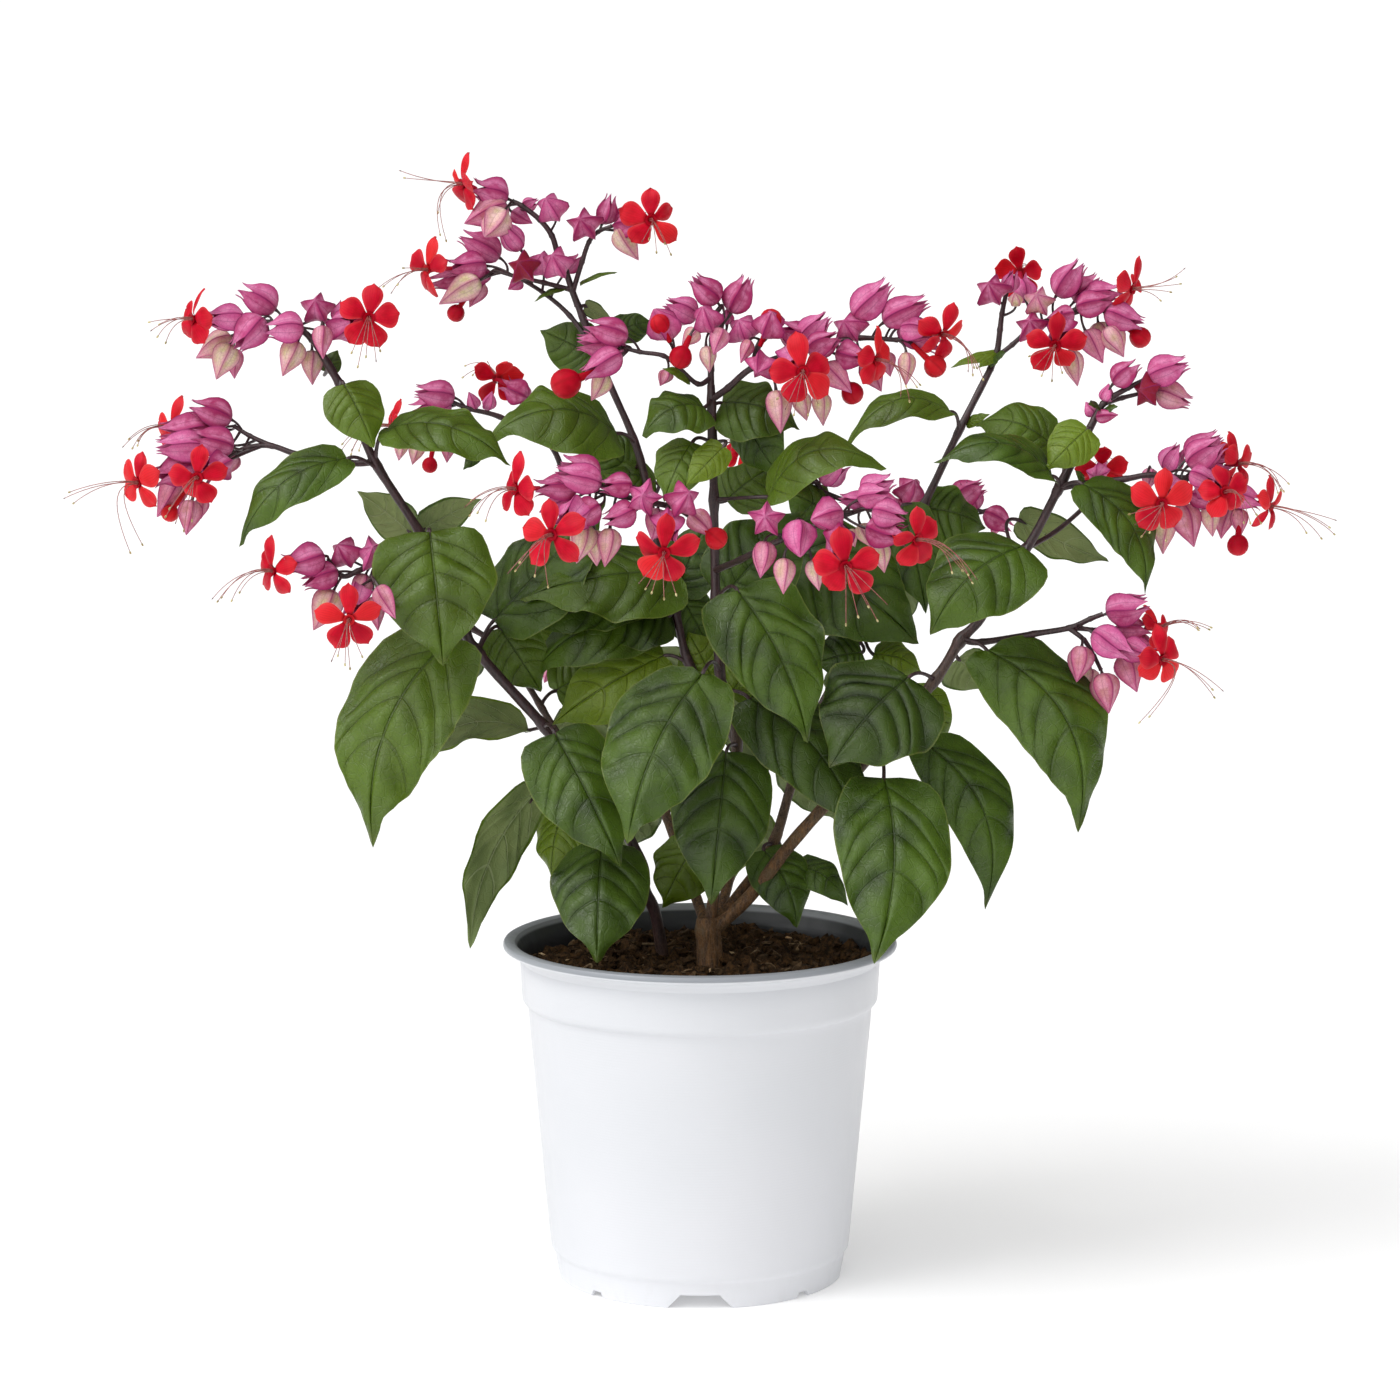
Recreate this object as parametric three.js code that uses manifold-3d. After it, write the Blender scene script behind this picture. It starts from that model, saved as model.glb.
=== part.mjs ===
// Potted clerodendrum speciosum: a white grower's pot filled with soil, a short woody
// trunk, leafy stems, forked sprays of pink lantern calyces, and red five-petalled blooms.
// Millimetres, +Z up. The origin is on the floor under the middle of the pot.
//
// Where things stand on the plant is noted as it is seen from the front: a column and a
// row of a 1400-square sighting grid, and a depth. Depth is how far behind the middle of
// the pot a place lies, so the near side of the plant has negative depths.

import * as THREE from 'three';
import { mergeVertices } from 'three/addons/utils/BufferGeometryUtils.js';
import Module from 'manifold-3d';

const wasm = await Module();
wasm.setup();

// Driving dimensions.

// The station that the sighting grid is seen from, on the near side of the pot.
const SIGHT_DISTANCE = 1745;
const SIGHT_HEIGHT = 486;
const SIGHT_PITCH = THREE.MathUtils.degToRad(7.66);
const SIGHT_FOCAL = 4102;
const SIGHT_MIDDLE = 700;

// Two parts that touch keep this gap.
const GAP = 0.3;

// Edges shorter than this, left where pieces are fused, are drawn together.
const SLIVER = 0.12;

// The pot: radius and height of each corner of its outside, from the foot to the lip.
const POT_OUTSIDE = [
  [62.0, 0], [63.2, 10.6], [65.0, 13.0], [74.4, 118], [77.0, 123], [77.8, 140], [79.2, 143.6],
  [85.0, 144.6], [85.0, 146.3], [83.6, 147.5],
];
// The inside, from the lip down to the middle of the raised floor.
const POT_INSIDE = [[79.3, 147.5], [76.9, 141.5], [75.5, 124], [72.9, 118], [62.4, 8], [0, 8]];
// The underside, from the middle of the floor out to the foot ring.
const POT_UNDERSIDE = [[0, 6], [59.0, 6], [60.0, 0]];
const POT_SIDES = 24;
const NOTCH = { count: 4, wide: 28, top: 16.5, high: 6 };
const SMALL_NOTCH = { count: 4, wide: 7, top: 4.5, high: 2.6 };
const DRAIN = { count: 4, radius: 5, ring: 38, sides: 6 };

const SOIL_TOP = 136.5;
const SOIL_SIDES = 20;

const TRUNK = { from: [708, 985, -6], to: [709, 917, -5], radius: 5.2 };

const LEAF_THICK = 0.7;
const PETAL_THICK = 0.7;
const STALK_RADIUS = 0.85;
const PEDICEL_RADIUS = 0.62;
const TUBE_RADIUS = 1.2;

// A flower stalk leaves its spray this far behind the calyx, its root thinner by this share.
const ROOT_BEHIND = 6;
const ROOT_SHARE = 0.5;
// A stalk longer than this has a bend in the middle.
const LONG_STALK = 20;

// A calyx: its largest radius and, as shares of its length, where it is widest, where the
// notches between its points lie and how deep its mouth goes. slim: the largest radius of a
// short one, as a share of its length. mouth: the radius left open round a bloom's tube.
const CALYX = { radius: 6.3, slim: 0.42, shortest: 11, widest: 0.3, notch: 0.62, heart: 0.55, mouth: 1.9 };
// How far out the notches and the points of an open calyx stand, as shares of its radius.
const CALYX_SPREAD = { notch: 0.6, point: 0.62 };
// The calyx of an open bloom takes this share of the way to the petals, up to a limit.
const HOLDING = { share: 0.55, limit: 13.5 };

// Stalks along a spray: radius at both ends of the first of them, and of its side branches.
const SPRAY_THICK = [1.6, 1.2];
const BRANCH_THICK = [1.3, 1.1];
// Places for flower stalks on each stretch of a branch, and how much a taken one is shunned.
const FORKS_PER_STEP = 3;
const FORK_SHUN = 4;
// Places tried on each stretch of a stem when a leaf is put on it.
const PLACES_PER_STEP = 30;

// A bloom that is one piece with its spray starts this deep in its calyx.
const BLOOM_SUNK = 1.5;

// A petal: where it is widest as a share of its reach, half the angle that it spans there,
// and how far it stands ahead of the throat there and hangs back at its end.
const PETAL = { widest: 0.66, half: 0.4, lift: 0.9, drop: 0.9 };
const THROAT_RADIUS = 2.6;

// The stamens: how far ahead of the petals, how far down, and half their thickness.
const STAMEN_LINE = [[0.1, 0, 0.9], [9, 2.4, 0.5], [18, 7, 0.45], [27, 14, 0.8]];

// A blade folds up along its midrib by this share of its half width.
const LEAF_FOLD = 0.16;
// Blades wider than this get one more row of corners.
const WIDE_LEAF = 45;

const COLOURS = {
  pot: 0xeef0f3,
  soil: 0x3a281d,
  trunk: 0x7c5a3c,
  stem: 0x3f6b2a,
  spray: 0xc8589a,
  bloom: 0xe0202c,
};

// Layout of the plant.

// Stems. path: column, row, depth of points along the stem. thick: radius at both ends.
const STEMS = {
  stem_centre: {
    cutBy: ['trunk'], thick: [2.7, 1.9],
    path: [[710, 922, -4], [722, 840, -2], [737, 745, 0], [722, 690, 0], [716, 600, 0], [714, 500, 0],
      [711, 385, 0]],
  },
  stem_left_inner: {
    cutBy: ['stem_centre'], thick: [2.1, 1.5],
    path: [[737, 745, 0], [716, 700, 9], [689, 664, 14], [675, 610, 20], [660, 560, 26], [640, 458, 36],
      [609, 382, 42], [578, 306, 46]],
  },
  stem_left_outer: {
    cutBy: [], thick: [2.9, 1.7],
    path: [[668, 990, 16], [656, 917, 14], [645, 890, 12], [640, 860, 10], [600, 790, 6],
      [545, 727, 0], [480, 655, -6], [462, 625, -8], [427, 545, -10], [375, 462, -12], [348, 400, -12],
      [318, 347, -12]],
  },
  stem_left_back: {
    cutBy: ['stem_left_outer'], thick: [1.5, 1.2],
    path: [[600, 790, 6], [575, 758, 14], [553, 726, 20], [520, 672, 28], [507, 651, 32], [470, 627, 38]],
  },
  stem_right_outer: {
    cutBy: ['trunk', 'stem_centre'], thick: [3.0, 1.7],
    path: [[709, 934, -5], [750, 896, -6], [790, 845, -8], [830, 800, -10], [880, 745, -12], [935, 680, -12],
      [960, 641, -12], [982, 616, -12], [1000, 570, -10], [1026, 549, -8], [1059, 488, -4], [1094, 420, 0]],
  },
  stem_right_inner: {
    cutBy: ['trunk', 'stem_centre', 'stem_right_outer'], thick: [2.4, 1.6],
    path: [[709, 930, -5], [742, 890, 6], [773, 844, 12], [792, 783, 20], [815, 720, 30], [855, 644, 42],
      [868, 623, 46], [923, 507, 60], [936, 480, 64], [959, 431, 70], [990, 370, 78]],
  },
  stem_right_side: {
    cutBy: ['stem_right_outer'], thick: [1.2, 1.0],
    path: [[1026, 549, -8], [1055, 532, 6], [1083, 508, 14], [1092, 494, 16]],
  },
  stem_back_left: {
    cutBy: ['trunk', 'stem_centre'], thick: [2.3, 1.5],
    path: [[708, 932, -5], [690, 880, 24], [660, 800, 50], [620, 700, 74], [590, 620, 90], [575, 570, 98]],
  },
  stem_back_right: {
    cutBy: ['trunk', 'stem_centre', 'stem_right_inner'], thick: [2.3, 1.5],
    path: [[709, 944, -5], [722, 905, 24], [752, 800, 52], [795, 700, 76], [828, 610, 94], [845, 545, 102]],
  },
};

// Leaves. Each row: where on the stem (column, row), the foot of the blade (column, row,
// depth), its tip (column, row, depth), width, the way the upper face looks (turn to the
// right, tilt up), and how far the blade arches out of its plane and bows in it.
const LEAVES = {
  stem_centre: [
    [714, 600, 738, 590, -20, 808, 743, -44, 47, 12, 18, 6, -3],
    [718, 672, 702, 670, -34, 627, 844, -62, 52, -10, 18, 7, 4],
    [722, 690, 748, 699, -12, 860, 836, -30, 44, 25, 20, 5, -3],
    [737, 745, 726, 752, -16, 711, 905, -42, 44, 0, 10, 6, 0],
    [711, 402, 704, 407, -8, 642, 436, -22, 26, 10, 55, 8, 0],
    [711, 404, 722, 402, 4, 800, 430, 2, 32, 10, 45, 6, 0],
    [712, 430, 726, 440, 8, 786, 456, 14, 26, 20, 50, 4, 0],
    [713, 440, 706, 447, -14, 665, 502, -28, 32, -45, 15, 3, 0],
    [714, 498, 745, 506, -10, 886, 468, -20, 34, 0, 58, 7, 0],
    [714, 500, 734, 498, 10, 772, 466, 20, 22, 10, 40, 3, 0],
    [722, 840, 695, 845, 6, 662, 908, 10, 28, -20, 10, 3, 0],
  ],
  stem_left_inner: [
    [634, 440, 614, 436, 26, 487, 440, 6, 38, 0, 55, 9, 0],
    [598, 352, 592, 352, 58, 544, 344, 66, 20, -20, 25, 2, 0],
    [594, 342, 614, 332, 60, 654, 322, 70, 15, 10, 30, 2, 0],
    [675, 610, 668, 616, 16, 592, 642, 10, 28, -10, 45, 5, 0],
    [660, 560, 640, 570, 12, 518, 604, -6, 34, -10, 50, 6, 0],
    [655, 535, 622, 520, 16, 489, 622, 2, 48, -20, 35, 6, 0],
    [689, 664, 640, 656, 16, 554, 722, 12, 32, -10, 25, 5, 0],
    [680, 630, 622, 627, 30, 506, 682, 22, 36, -5, 50, 8, 0],
  ],
  stem_left_outer: [
    [464, 630, 445, 642, -20, 373, 848, -44, 57, -15, 22, 8, 5],
    [427, 545, 427, 545, -28, 442, 664, -46, 48, 5, 20, 5, 0],
    [379, 471, 347, 460, -18, 239, 547, -30, 34, -20, 45, 9, 0],
    [340, 386, 342, 390, -24, 374, 448, -32, 25, 10, 25, 3, 0],
    [375, 462, 388, 430, -18, 511, 466, -34, 36, 10, 55, 11, 0],
    [545, 727, 560, 733, -22, 621, 867, -46, 43, 8, 18, 6, 0],
    [612, 808, 602, 842, -14, 597, 963, -48, 42, -5, 15, 5, 0],
    [600, 790, 562, 812, 16, 552, 878, 12, 26, -30, 10, 3, 0],
    [580, 766, 534, 790, 18, 470, 949, 4, 34, -140, 0, 6, 3],
    [545, 727, 526, 731, 16, 413, 784, 14, 34, 185, -35, 6, 0],
    [405, 510, 400, 524, 6, 357, 496, 14, 24, 185, 10, 3, 0],
    [430, 550, 438, 534, 6, 472, 502, 12, 18, 20, 30, 2, 0],
  ],
  stem_left_back: [
    [540, 704, 556, 690, 34, 604, 676, 48, 28, 20, 45, 4, 0],
    [507, 651, 520, 636, 46, 566, 616, 60, 28, 20, 45, 4, 0],
    [470, 627, 462, 640, 46, 425, 715, 58, 32, 200, 15, 4, 0],
  ],
  stem_right_outer: [
    [1059, 488, 1083, 487, -14, 1145, 595, -22, 28, 35, 20, 4, -3],
    [962, 640, 988, 650, -22, 1078, 832, -44, 52, 12, 20, 8, -5],
    [1020, 552, 1030, 557, -26, 930, 634, -48, 40, -12, 32, 6, 0],
    [1059, 488, 1052, 475, -14, 933, 463, -26, 28, 0, 62, 7, 0],
    [1064, 478, 1053, 444, 10, 974, 418, 18, 24, 0, 42, 5, 0],
    [1084, 440, 1088, 428, -8, 1050, 464, -14, 18, 0, 20, 3, 0],
    [1015, 556, 1018, 520, 22, 1109, 562, 20, 20, 185, -25, 3, 0],
    [960, 641, 958, 658, 6, 988, 690, 12, 26, 160, 0, 3, 0],
    [880, 745, 925, 741, -14, 987, 908, -32, 40, 12, 18, 6, -4],
    [880, 745, 880, 780, -34, 873, 963, -76, 46, 0, 18, 6, 0],
    [935, 680, 908, 677, -28, 829, 768, -50, 54, -12, 30, 6, 0],
    [900, 722, 908, 700, 4, 950, 738, 8, 22, 150, 0, 3, 0],
  ],
  stem_right_inner: [
    [959, 431, 948, 412, 60, 846, 446, 46, 28, 0, 55, 10, 0],
    [923, 507, 934, 500, 62, 986, 530, 68, 28, 15, 40, 4, 0],
    [890, 575, 838, 560, 46, 918, 643, 36, 36, 5, 35, 4, 0],
    [862, 632, 872, 650, 40, 920, 668, 40, 16, 10, 40, 2, 0],
    [773, 844, 766, 850, 0, 796, 928, -10, 27, 20, 15, 4, 0],
    [776, 838, 795, 868, 6, 848, 906, 0, 17, 10, 45, 3, 0],
  ],
  stem_right_side: [],
  stem_back_left: [
    [665, 812, 640, 806, 74, 636, 880, 96, 40, 190, 20, 5, 0],
    [645, 760, 684, 746, 84, 706, 830, 108, 44, 170, 20, 5, 0],
    [620, 700, 592, 704, 92, 576, 790, 112, 42, 200, 15, 5, 0],
    [605, 660, 646, 646, 100, 668, 730, 126, 44, 170, 20, 5, 0],
    [580, 585, 612, 572, 110, 640, 640, 132, 38, 175, 25, 5, 0],
  ],
  stem_back_right: [
    [750, 806, 734, 806, 78, 728, 884, 100, 40, 185, 15, 5, 0],
    [770, 756, 815, 756, 84, 846, 842, 108, 44, 160, 20, 5, 0],
    [795, 700, 768, 690, 94, 758, 778, 116, 44, 190, 15, 5, 0],
    [812, 655, 866, 662, 100, 902, 750, 122, 44, 165, 20, 5, 0],
    [838, 575, 874, 566, 116, 900, 632, 136, 36, 165, 25, 5, 0],
  ],
};

// Sprays. branches: column, row, depth along each stalk; the first of them leaves the
// stem. calyces: base (column, row, depth), tip (column, row), how much nearer the tip is
// than the base, and whether the five points are spread (1) or closed (0). buds: where the
// bud's tube starts (column, row, depth), the middle of the round bud, and its radius.
const SPRAYS = {
  spray_top_left: {
    cutBy: ['stem_left_inner'],
    branches: [
      [[578, 306, 46], [572, 290, 46], [566, 272, 46], [558, 255, 46], [552, 236, 46], [540, 220, 46],
        [522, 206, 46], [512, 201, 46]],
      [[572, 290, 46], [545, 283, 44], [518, 277, 42], [494, 270, 42]],
      [[573, 291, 46], [582, 262, 46], [589, 242, 45], [598, 232, 45], [612, 226, 44]],
      [[597, 352, 44], [570, 316, 48], [545, 294, 47], [518, 277, 42]],
    ],
    calyces: [
      [508, 206, 34, 465, 222, 4, 0], [556, 217, 48, 548, 197, 10, 1], [521, 250, 40, 500, 224, 4, 1],
      [500, 258, 54, 462, 234, 0, 1], [484, 280, 40, 442, 302, 4, 0], [568, 272, 56, 582, 256, 0, 1],
      [588, 230, 42, 581, 219, 12, 1], [602, 224, 52, 612, 196, 2, 1], [618, 228, 56, 638, 259, 4, 0],
    ],
    buds: [[470, 290, 40, 456, 313, 3.9]],
  },
  spray_left_high: {
    cutBy: ['stem_left_outer'],
    branches: [
      [[318, 347, -12], [312, 340, -12], [304, 332, -12], [290, 326, -10], [264, 322, -8], [240, 330, -10]],
      [[310, 338, -12], [318, 332, -14], [330, 326, -12]],
    ],
    calyces: [
      [276, 310, -4, 241, 287, 0, 1], [264, 318, -18, 235, 348, 4, 1], [234, 338, -2, 198, 359, 2, 0],
      [230, 346, -12, 216, 378, 4, 0], [320, 316, -2, 314, 300, 9, 1], [312, 350, -6, 311, 384, 2, 0],
      [322, 326, -26, 323, 358, 5, 0],
    ],
    buds: [],
  },
  spray_far_left: {
    cutBy: ['stem_left_outer'],
    branches: [
      [[375, 462, -12], [350, 463, -10], [300, 455, -8], [272, 446, -6], [250, 447, -6], [236, 452, -8]],
      [[272, 446, -6], [250, 436, -4], [234, 426, -2]],
    ],
    calyces: [
      [232, 420, -4, 191, 405, 2, 1], [214, 430, -16, 162, 431, 2, 1], [182, 480, -2, 158, 516, 4, 0],
      [192, 500, -16, 186, 534, 3, 0], [238, 458, 2, 216, 478, 0, 0],
    ],
    buds: [[184, 492, -8, 170, 513, 3.8]],
  },
  spray_left_low: {
    cutBy: ['stem_left_outer'],
    branches: [
      [[427, 545, -10], [402, 556, -14], [378, 562, -16], [358, 571, -20], [342, 576, -22], [328, 560, -22]],
      [[378, 562, -16], [372, 576, -22], [376, 584, -24]],
    ],
    calyces: [
      [338, 572, -24, 303, 582, 4, 1], [352, 560, -14, 336, 544, 8, 1], [372, 562, -14, 374, 546, 12, 1],
      [334, 590, -20, 314, 629, 4, 0], [378, 586, -46, 396, 617, 5, 0],
    ],
    buds: [],
  },
  spray_back_left: {
    cutBy: ['stem_back_left'],
    branches: [
      [[575, 570, 98], [568, 510, 92], [562, 470, 88], [545, 440, 84], [500, 417, 80], [470, 409, 78],
        [452, 402, 78]],
      [[470, 409, 78], [450, 425, 78], [432, 436, 76]],
    ],
    calyces: [
      [455, 398, 72, 416, 390, 2, 1], [476, 408, 80, 469, 392, 4, 0], [418, 440, 72, 412, 464, 2, 0],
      [575, 430, 80, 548, 442, 0, 1],
    ],
    buds: [[434, 442, 70, 430, 465, 3.6]],
  },
  spray_centre_left: {
    cutBy: ['stem_centre'],
    branches: [
      [[714, 535, 0], [702, 520, -30], [684, 510, -62], [655, 503, -76], [620, 496, -78], [590, 490, -78]],
    ],
    calyces: [
      [600, 478, -68, 561, 463, 0, 1], [632, 486, -86, 600, 486, 4, 1], [645, 500, -76, 642, 493, 13, 1],
      [692, 512, -68, 712, 537, 5, 0], [638, 512, -90, 606, 522, 3, 0], [586, 526, -72, 576, 562, 2, 0],
    ],
    buds: [[704, 528, -74, 716, 538, 4.7]],
  },
  spray_centre_top: {
    cutBy: ['stem_centre'],
    branches: [
      [[711, 388, 0], [711, 370, 0], [712, 340, 0], [714, 318, 0], [722, 305, 0]],
      [[711, 378, 0], [698, 384, -4], [680, 369, -8], [664, 356, -10], [640, 352, -10], [620, 347, -10]],
    ],
    calyces: [
      [628, 338, -6, 586, 325, 2, 1], [622, 354, -18, 582, 373, 4, 1], [606, 374, -8, 592, 400, 2, 0],
      [697, 318, 6, 666, 302, 2, 1], [718, 303, 0, 694, 277, 2, 1], [731, 313, 2, 749, 278, 0, 1],
      [724, 328, -10, 714, 354, 3, 0],
    ],
    buds: [[690, 336, -14, 681, 357, 5.0], [604, 368, -20, 566, 383, 6.6]],
  },
  spray_top_centre: {
    cutBy: ['stem_centre'],
    branches: [
      [[711, 400, 0], [728, 388, -4], [752, 368, -8], [790, 354, -6], [830, 343, -4], [860, 338, -2],
        [898, 340, 0]],
      [[752, 368, -8], [756, 350, -8], [760, 340, -8]],
    ],
    calyces: [
      [770, 336, -10, 773, 310, 5, 1], [750, 340, -14, 740, 362, 3, 0], [766, 362, -16, 754, 376, 6, 0],
      [776, 390, -24, 780, 432, 3, 0], [800, 342, 0, 829, 317, 2, 1], [824, 366, -12, 850, 393, 3, 0],
      [862, 312, 4, 889, 288, 0, 1], [888, 314, -2, 925, 300, 0, 1], [906, 352, -6, 907, 385, 2, 0],
    ],
    buds: [[912, 344, -2, 935, 366, 4.9], [844, 376, -6, 852, 393, 4.9]],
  },
  spray_right_high: {
    cutBy: ['stem_right_inner'],
    branches: [
      [[990, 370, 78], [997, 352, 80], [1000, 330, 80], [1002, 314, 80], [1006, 294, 80]],
      [[995, 358, 80], [1012, 345, 80], [1034, 326, 78], [1060, 316, 78], [1086, 308, 78], [1104, 308, 78]],
    ],
    calyces: [
      [996, 297, 78, 988, 283, 9, 1], [1008, 292, 84, 1012, 268, 2, 1], [1056, 296, 80, 1083, 264, 0, 1],
      [1078, 310, 66, 1112, 302, 2, 0], [1104, 312, 74, 1143, 323, 3, 1], [1108, 328, 66, 1122, 357, 2, 0],
      [1085, 330, 72, 1103, 362, 2, 0],
    ],
    buds: [[1120, 322, 76, 1140, 337, 4.9]],
  },
  spray_right_tip: {
    cutBy: ['stem_right_outer'],
    branches: [
      [[1094, 420, 0], [1103, 404, 0], [1114, 396, 0], [1128, 388, 0], [1144, 380, 0]],
      [[1103, 404, 0], [1122, 398, 4], [1142, 393, 4]],
    ],
    calyces: [
      [1113, 384, -2, 1138, 363, 2, 1], [1148, 378, 0, 1187, 362, 2, 1], [1156, 392, 6, 1190, 404, 2, 1],
      [1152, 392, -4, 1141, 390, 6, 0], [1096, 418, -2, 1118, 414, 3, 0],
    ],
    buds: [],
  },
  spray_far_right: {
    cutBy: ['stem_right_outer'],
    branches: [
      [[1059, 488, -4], [1082, 484, -4], [1125, 479, -4], [1150, 475, -4], [1185, 478, -4], [1205, 482, -4]],
    ],
    calyces: [
      [1164, 470, 4, 1182, 447, 2, 1], [1188, 460, -6, 1220, 437, 0, 1], [1192, 494, -6, 1216, 506, 3, 0],
      [1180, 504, -12, 1193, 546, 3, 0], [1164, 512, 2, 1163, 553, 3, 0], [1208, 506, 2, 1211, 536, 2, 0],
    ],
    buds: [[1239, 520, -8, 1238, 545, 4.7], [1212, 466, 8, 1222, 450, 3.6]],
  },
  spray_right_low: {
    cutBy: ['stem_right_outer'],
    branches: [
      [[962, 640, -12], [982, 642, -12], [1033, 634, -14], [1069, 628, -16], [1090, 619, -16],
        [1103, 614, -16]],
      [[1069, 628, -16], [1084, 640, -18], [1094, 656, -18], [1101, 670, -18]],
      [[1069, 628, -16], [1092, 630, -14], [1114, 638, -12]],
    ],
    calyces: [
      [1106, 614, -16, 1147, 600, 2, 1], [1092, 632, -28, 1130, 655, 3, 1],
      [1082, 646, -26, 1077, 681, 4, 0], [1122, 655, -8, 1137, 691, 3, 0],
      [1102, 673, -24, 1110, 712, 3, 0],
    ],
    buds: [],
  },
  spray_centre_right: {
    cutBy: ['stem_centre'],
    branches: [
      [[716, 570, 0], [740, 560, -36], [770, 545, -62], [806, 530, -76], [840, 517, -80], [866, 508, -78]],
    ],
    calyces: [
      [768, 522, -70, 765, 514, 13, 1], [797, 520, -80, 800, 556, 6, 1], [765, 541, -74, 761, 577, 3, 0],
      [784, 560, -80, 783, 594, 3, 0], [812, 562, -72, 818, 590, 2, 0], [862, 494, -62, 892, 476, 2, 1],
      [878, 544, -70, 884, 572, 2, 0],
    ],
    buds: [],
  },
  spray_right_back: {
    cutBy: ['stem_right_side'],
    branches: [[[1092, 494, 16], [1096, 484, 15], [1096, 476, 14]]],
    calyces: [],
    buds: [],
  },
  spray_back_centre: {
    cutBy: ['stem_back_right'],
    branches: [
      [[845, 545, 102], [832, 515, 100], [822, 492, 98], [812, 478, 98], [790, 470, 98], [762, 466, 98]],
      [[822, 492, 98], [880, 512, 98], [915, 505, 98], [955, 505, 98], [985, 512, 98]],
    ],
    calyces: [
      [806, 480, 94, 794, 464, 8, 1], [820, 482, 94, 847, 463, 2, 1], [905, 500, 94, 914, 480, 7, 1],
      [955, 502, 96, 984, 486, 0, 1], [984, 512, 94, 1012, 528, 0, 1],
    ],
    buds: [],
    blooms: [[740, 450, 92, -25, 25, 0, 22, 764, 466, 98]],
  },
  spray_behind_left: {
    cutBy: ['stem_back_left'],
    branches: [[[612, 680, 79], [600, 668, 88], [584, 660, 98], [566, 654, 103]]],
    calyces: [
      [556, 660, 100, 544, 682, 0, 0], [572, 664, 108, 580, 690, 0, 0],
    ],
    buds: [],
    blooms: [[556, 640, 113, -150, 15, 0, 24, 572, 650, 102]],
  },
  spray_behind_right: {
    cutBy: ['stem_back_right'],
    branches: [[[818, 640, 88], [806, 632, 98], [790, 626, 104], [774, 624, 106]]],
    calyces: [
      [766, 632, 106, 754, 652, 0, 0], [780, 636, 110, 778, 662, 0, 0],
    ],
    buds: [],
    blooms: [[764, 610, 113, 150, 15, 0, 24, 780, 622, 104]],
  },
};

// Open blooms. Each row: the middle of the flower (column, row, depth), the way it looks
// (turn to the right, tilt up), the petals' spin, the width across, and the base of the
// calyx that holds it (column, row, depth).
const BLOOMS = {
  spray_top_left: [
    [461, 184, 42, -82, -8, 8, 27, 508, 199, 46],
    [426, 270, 34, -68, -5, 6, 28, 486, 266, 44],
    [651, 220, 28, 8, -5, -6, 29, 618, 230, 46],
  ],
  spray_left_high: [
    [191, 319, -24, -72, -4, 8, 27, 244, 318, -14],
    [369, 318, -30, 5, -5, 4, 30, 332, 330, -12],
  ],
  spray_far_left: [
    [170, 428, 8, -62, 6, 4, 28, 224, 444, 6],
    [136, 483, -22, -60, -5, 8, 28, 192, 466, -10],
    [197, 478, -40, 0, 0, -4, 28, 226, 462, -18],
  ],
  spray_left_low: [
    [271, 571, -32, -68, 0, 6, 28, 325, 556, -26],
    [349, 620, -54, 0, -6, 0, 30, 358, 590, -30],
  ],
  spray_back_left: [
    [497, 378, 88, -150, 30, 6, 27, 528, 398, 80],
    [390, 426, 74, -88, 0, 0, 26, 440, 418, 84],
  ],
  spray_centre_left: [
    [514, 489, -82, -74, 0, 6, 27, 578, 487, -78],
    [551, 535, -106, -14, -5, 2, 31, 584, 506, -84],
    [664, 553, -106, 0, -6, 0, 32, 668, 516, -80],
  ],
  spray_top_centre: [
    [803, 372, -38, 0, 5, -14, 31, 788, 352, -12],
    [878, 360, -16, 66, -12, 0, 27, 836, 354, -8],
    [944, 335, -8, 62, -16, 6, 27, 900, 328, -2],
  ],
  spray_right_high: [
    [1020, 272, 96, 170, 18, 0, 27, 1026, 300, 84],
    [1055, 346, 50, -5, -5, 4, 30, 1064, 322, 74],
    [1134, 289, 72, 80, -8, 10, 27, 1084, 298, 78],
  ],
  spray_far_right: [
    [1162, 504, -34, 0, -4, 0, 31, 1174, 482, -10],
    [1240, 464, -2, 72, 0, 8, 28, 1196, 470, -2],
    [1226, 492, -30, 20, 5, -8, 26, 1200, 484, -8],
    [1272, 507, -8, 72, -14, 0, 27, 1230, 494, -6],
  ],
  spray_right_low: [
    [1164, 660, -30, 48, -10, -8, 29, 1122, 646, -20],
    [1160, 628, -6, 66, 20, 8, 24, 1116, 628, -8],
  ],
  spray_centre_right: [
    [846, 567, -108, 0, -5, -4, 32, 836, 530, -84],
    [918, 540, -92, 36, -5, -8, 28, 866, 528, -84],
  ],
  spray_right_back: [
    [1102, 468, 28, 172, 22, 0, 28, 1096, 477, 12],
  ],
};

// Places and directions.

// The point of space at a column and row of the sighting grid and a depth.
function spot([column, row, depth]) {
  const across = (column - SIGHT_MIDDLE) / SIGHT_FOCAL;
  const up = (SIGHT_MIDDLE - row) / SIGHT_FOCAL;
  const cos = Math.cos(SIGHT_PITCH);
  const sin = Math.sin(SIGHT_PITCH);
  const reach = (depth + SIGHT_DISTANCE) / (cos + up * sin);
  return new THREE.Vector3(reach * across, depth, SIGHT_HEIGHT + reach * (up * cos - sin));
}

// The column and row at which a point is seen.
function sighted(point) {
  const cos = Math.cos(SIGHT_PITCH);
  const sin = Math.sin(SIGHT_PITCH);
  const back = point.y + SIGHT_DISTANCE;
  const rise = point.z - SIGHT_HEIGHT;
  const away = back * cos - rise * sin;
  return [
    SIGHT_MIDDLE + SIGHT_FOCAL * point.x / away,
    SIGHT_MIDDLE - SIGHT_FOCAL * (back * sin + rise * cos) / away,
  ];
}

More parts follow.
